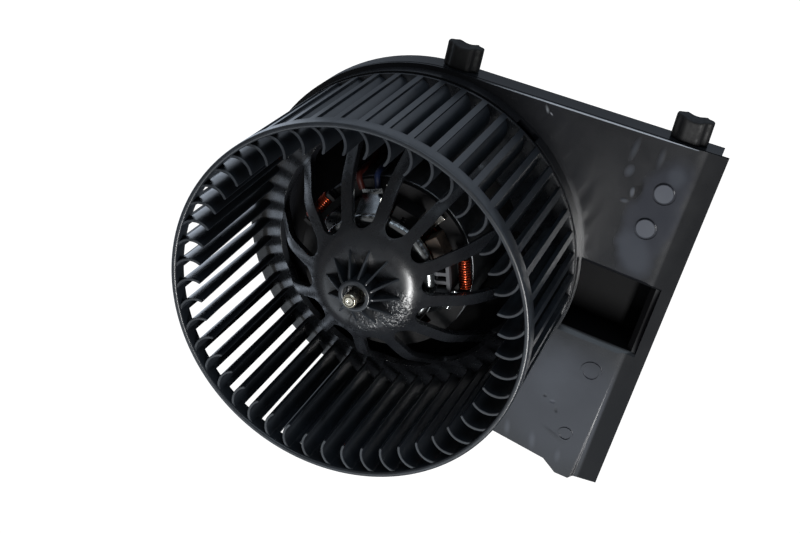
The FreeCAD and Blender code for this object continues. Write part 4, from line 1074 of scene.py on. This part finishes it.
@dataclass
class DressedNode:
    """A CAD node that keeps its form and gets softened edges and a finish."""

    node: str
    finish: Finish
    slot: str
    edge: float = 0.3
    body: Body = Body.HOUSING
    melt: float = 0.0
    smooth_angle: float = 35.0
    even_angle: float = 60.0
    flat_angle: float = 0.5

    def build(self) -> Piece:
        """Make the softened copy that stands for the node.

        Returns:
            The dressed piece.
        """
        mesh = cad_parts[self.node].data.copy()
        name = self.node + "_dressed"
        mesh.name = name
        piece = linked(bpy.data.objects.new(name, mesh))
        work = bmesh.new()
        work.from_mesh(mesh)
        bmesh.ops.remove_doubles(work, verts=work.verts, dist=WELD)
        flat = math.radians(self.flat_angle)
        bmesh.ops.dissolve_limit(work, angle_limit=flat, verts=work.verts, edges=work.edges)
        work.to_mesh(mesh)
        work.free()
        if self.melt > 0.0:
            melted(piece, self.melt)
            piece = baked(piece, name)
            piece.data.shade_smooth()
        elif self.edge > 0.0:
            bevelled(piece, self.edge, 2, self.smooth_angle)
            weighted = piece.modifiers.new("even_shading", "WEIGHTED_NORMAL")
            weighted.keep_sharp = True
            soften(piece, self.even_angle)
            piece = baked(piece, name)
        else:
            soften(piece, self.smooth_angle)
        return settle(piece, self.body, self.finish, [self.node])


@dataclass
class DressedSpring(DressedNode):
    """A CAD brush spring, dressed with a mesh of its own."""

    joint: str = ""
    heading: Point = (0.0, 1.0, 0.0)
    outer_end: float = 29.75
    axis_z: float = 41.1
    keep: float = 0.59

    def build(self) -> Piece:
        """Dress the spring and give it a mesh of its own.

        Returns:
            The dressed spring.
        """
        piece = super().build()
        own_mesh(piece)
        return piece


@dataclass
class ChokeCoil:
    """Close-wound copper coil of one suppression choke."""

    node: str
    angle: float
    axis_radius: float = 36.2
    axis_z: float = 39.4
    length: float = 12.7
    radius: float = 2.3
    wire: float = 0.37
    turns: float = 11.5

    def build(self) -> Piece:
        """Wind the coil and lay it in its cradle.

        Returns:
            The coil piece.
        """
        seed = new_piece("coil_seed", [(0, 0, 0)], [])
        values = {"Turns": self.turns, "Length": self.length * MM, "Radius": self.radius * MM,
                  "Wire Radius": self.wire * MM, "Material": COPPER_WIRE.build()}
        coil = grown(seed, wound_coil_tree(), values, self.node + "_wound")
        turn = Matrix.Rotation(math.radians(self.angle), 4, "Z")
        place = Matrix.Translation(Vector((self.axis_radius, -self.length / 2, self.axis_z)) * MM)
        coil.data.transform(turn @ place @ Matrix.Rotation(math.radians(-90), 4, "X"))
        soften(coil, 60.0)
        return settle(coil, Body.HOUSING, COPPER_WIRE, [self.node])


def stood(axes: Sequence[Vector], place: Vector) -> Matrix:
    """World matrix of an object that stands along given axes.

    Args:
        axes: its right, up and back axes.
        place: where it stands.

    Returns:
        The matrix.
    """
    matrix = Matrix(axes).transposed().to_4x4()
    matrix.translation = place
    return matrix


@dataclass
class Studio:
    """Pale floor, soft lights and the camera at the photograph's angle."""

    focal_px: float = 1302.0
    image_width_px: float = 800.0
    sensor_mm: float = 36.0
    camera_mm: Point = (112.9, 253.6, 508.1)
    axis_right: Point = (0.9068, 0.2512, -0.3385)
    axis_down: Point = (0.3738, -0.8504, 0.3702)
    axis_ahead: Point = (-0.1949, -0.4622, -0.8651)
    floor_gap: float = 0.2
    floor_size: float = 6.0
    lamp_distance: float = 1.2
    floor_light: float = 0.22
    bounce_light: float = 1.8
    bounce_edge: float = -0.09
    back_light: float = 0.75
    back_edge: float = 0.09
    edge_blur: float = 0.04
    seen_light: float = 1.1
    wall_light: float = 0.3
    ceiling_light: float = 0.16

    def camera(self) -> None:
        """Place the camera where the photograph was taken from."""
        data = bpy.data.cameras.new("camera")
        data.sensor_width = self.sensor_mm
        data.lens = self.focal_px / self.image_width_px * self.sensor_mm
        data.clip_start = 0.01
        data.clip_end = 20.0
        camera = linked(bpy.data.objects.new("camera", data))
        axes = (Vector(self.axis_right), -Vector(self.axis_down), -Vector(self.axis_ahead))
        camera.matrix_world = stood(axes, Vector(self.camera_mm) * MM)
        bpy.context.scene.camera = camera

    def floor(self) -> None:
        """Lay the pale floor just under the part."""
        z = cad_box[0][2] - self.floor_gap * MM
        half = self.floor_size / 2
        corners = [(-half, -half, z), (half, -half, z), (half, half, z), (-half, half, z)]
        floor = new_piece("floor", corners, [(0, 1, 2, 3)], 1.0)
        paint = bpy.data.materials.new("floor_paper")
        tree = empty_tree(paint)
        place = add_node(tree, "ShaderNodeTexCoord").outputs["Object"]
        spot = add_node(tree, "ShaderNodeSeparateXYZ", {"Vector": place})
        level = self.floor_light
        edges = (("X", self.bounce_edge, self.bounce_light), ("Y", self.back_edge, self.back_light))
        for axis, edge, light in edges:
            span = (edge, edge + math.copysign(self.edge_blur, edge))
            level = remap(tree, spot.outputs[axis], span, (level, light))
        seen = add_node(tree, "ShaderNodeLightPath").outputs["Is Camera Ray"]
        levels = {0: seen, 2: level, 3: self.seen_light}
        level = add_node(tree, "ShaderNodeMix", levels, data_type="FLOAT").outputs[0]
        colours = {0: seen, 6: linear("#d4e0f0"), 7: linear("#ffffff")}
        shade = add_node(tree, "ShaderNodeMix", colours, data_type="RGBA")
        glow = add_node(tree, "ShaderNodeEmission", {"Color": shade.outputs[2], "Strength": level})
        add_node(tree, "ShaderNodeOutputMaterial", {"Surface": glow.outputs["Emission"]})
        floor.data.materials.append(paint)

    def lamp(self, name: str, heading: Point, width: float, length: float, power: float,
             colour: Point = (1.0, 1.0, 1.0)) -> None:
        """Hang one soft box that faces the part, with its long side along the frame's Y axis.

        Args:
            name: name of the light.
            heading: direction from the part to the light.
            width: width of the soft box in metres.
            length: length of the soft box in metres.
            power: its power in watts.
            colour: colour of its light.
        """
        data = bpy.data.lights.new(name, "AREA")
        data.shape = "RECTANGLE"
        data.size = width
        data.size_y = length
        data.energy = power
        data.color = colour
        light = linked(bpy.data.objects.new(name, data))
        back = Vector(heading).normalized()
        right = Vector((0.0, 1.0, 0.0)).cross(back).normalized()
        light.matrix_world = stood((right, back.cross(right), back), back * self.lamp_distance)

    def world(self) -> None:
        """Surround the part with a pale wall under a dim ceiling."""
        world = bpy.data.worlds.new("studio")
        tree = empty_tree(world)
        heading = add_node(tree, "ShaderNodeTexCoord").outputs["Generated"]
        height = add_node(tree, "ShaderNodeSeparateXYZ", {"Vector": heading}).outputs["Z"]
        wall, ceiling = ((level,) * 3 + (1.0,) for level in (self.wall_light, self.ceiling_light))
        shade = ramp(tree, height, [(0.0, wall), (0.35, wall), (0.75, ceiling)])
        glow = add_node(tree, "ShaderNodeBackground", {"Color": shade})
        add_node(tree, "ShaderNodeOutputWorld", {"Surface": glow.outputs["Background"]})
        bpy.context.scene.world = world

    def build(self) -> None:
        """Set up the camera, the floor, the world and the lights."""
        bpy.context.scene.view_settings.view_transform = "Standard"
        self.camera()
        self.floor()
        self.world()
        self.lamp("strip", (0.42, -0.28, 0.86), width=0.14, length=0.6, power=19.0)
        self.lamp("front", (-0.12, -0.66, 0.74), width=0.9, length=0.5, power=2.7, colour=(0.84, 0.92, 1.0))
        self.lamp("far", (0.1, 0.95, 0.35), width=0.9, length=0.6, power=4.0, colour=(0.72, 0.86, 1.0))


def dressed_nodes() -> List[DressedNode]:
    """CAD nodes whose form is kept, with their finishes.

    Returns:
        One entry for each node.
    """
    rotor = Body.ROTOR
    plate = DressedNode("base_plate", PLATE_PLASTIC, "plate_plastic", 0.35)
    buffers = [DressedNode("rubber_buffer_" + side, BUFFER_RUBBER, "buffer_rubber", melt=0.4)
               for side in ("left", "right", "side")]
    before = [
        ("motor_can", CAN_STEEL, "can_steel", 0.3),
        ("magnet_right", FERRITE, "ferrite", 0.0),
        ("magnet_left", FERRITE, "ferrite", 0.0),
        ("front_bearing", SINTERED_BRONZE, "sintered_bronze", 0.0),
        ("rear_bearing", SINTERED_BRONZE, "sintered_bronze", 0.0),
        ("rear_bearing_retainer", SPRING_STEEL, "spring_steel", 0.0),
        ("end_bracket", BRACKET_STEEL, "bracket_steel", 0.3),
        ("brush_card", CARD_PLASTIC, "card_plastic", 0.25),
        ("carbon_brush_upper", CARBON, "carbon", 0.15, Body.BRUSH_UPPER),
        ("carbon_brush_lower", CARBON, "carbon", 0.15, Body.BRUSH_LOWER),
    ]
    springs = [DressedSpring("brush_spring_" + side, SPRING_STEEL, "spring_steel", 0.0,
                             joint="brush_" + side + "_slide",
                             heading=(0.173648 * sign, 0.984808 * sign, 0.0))
               for side, sign in (("upper", 1.0), ("lower", -1.0))]
    after = [
        ("choke_core_right", FERRITE, "ferrite", 0.2),
        ("choke_core_left", FERRITE, "ferrite", 0.2),
        ("thermal_cutout", CUTOUT_TAN, "cutout_tan", 0.4),
        ("suppression_capacitor", CAPACITOR_DARK, "capacitor_dark", 0.3),
        ("contact_bar_right", TINNED_BRASS, "tinned_brass", 0.15),
        ("contact_bar_left", TINNED_BRASS, "tinned_brass", 0.15),
        ("front_isolator", ISOLATOR_RUBBER, "isolator_rubber", 0.3),
        ("rear_isolator", ISOLATOR_RUBBER, "isolator_rubber", 0.3),
        ("lead_red", LEAD_RED, "lead_red", 0.0),
        ("lead_blue", LEAD_BLUE, "lead_blue", 0.0),
        ("plug_pins", TINNED_BRASS, "tinned_brass", 0.1),
        ("motor_shaft", SHAFT_STEEL, "shaft_steel", 0.15, rotor),
        ("armature_core", LAMINATION_STEEL, "lamination_steel", 0.0, rotor),
        ("armature_windings", COPPER_WIRE, "copper_wire", 0.0, rotor),
        ("commutator", COMMUTATOR_COPPER, "commutator_copper", 0.1, rotor),
        ("thrust_washer", WASHER_PLASTIC, "washer_plastic", 0.1, rotor),
    ]
    first, last = ([DressedNode(*row) for row in rows] for rows in (before, after))
    return [plate] + buffers + first + springs + last


def main() -> None:
    """Build the blower's looks in order and report each piece."""
    logging.basicConfig(level=logging.INFO, format="%(name)s: %(message)s")
    Studio().build()
    BlowerWheel().build()
    for node in dressed_nodes():
        node.build()
    ChokeCoil("choke_coil_right", 19.0).build()
    ChokeCoil("choke_coil_left", 155.0).build()


if __name__ == "__main__":
    main()
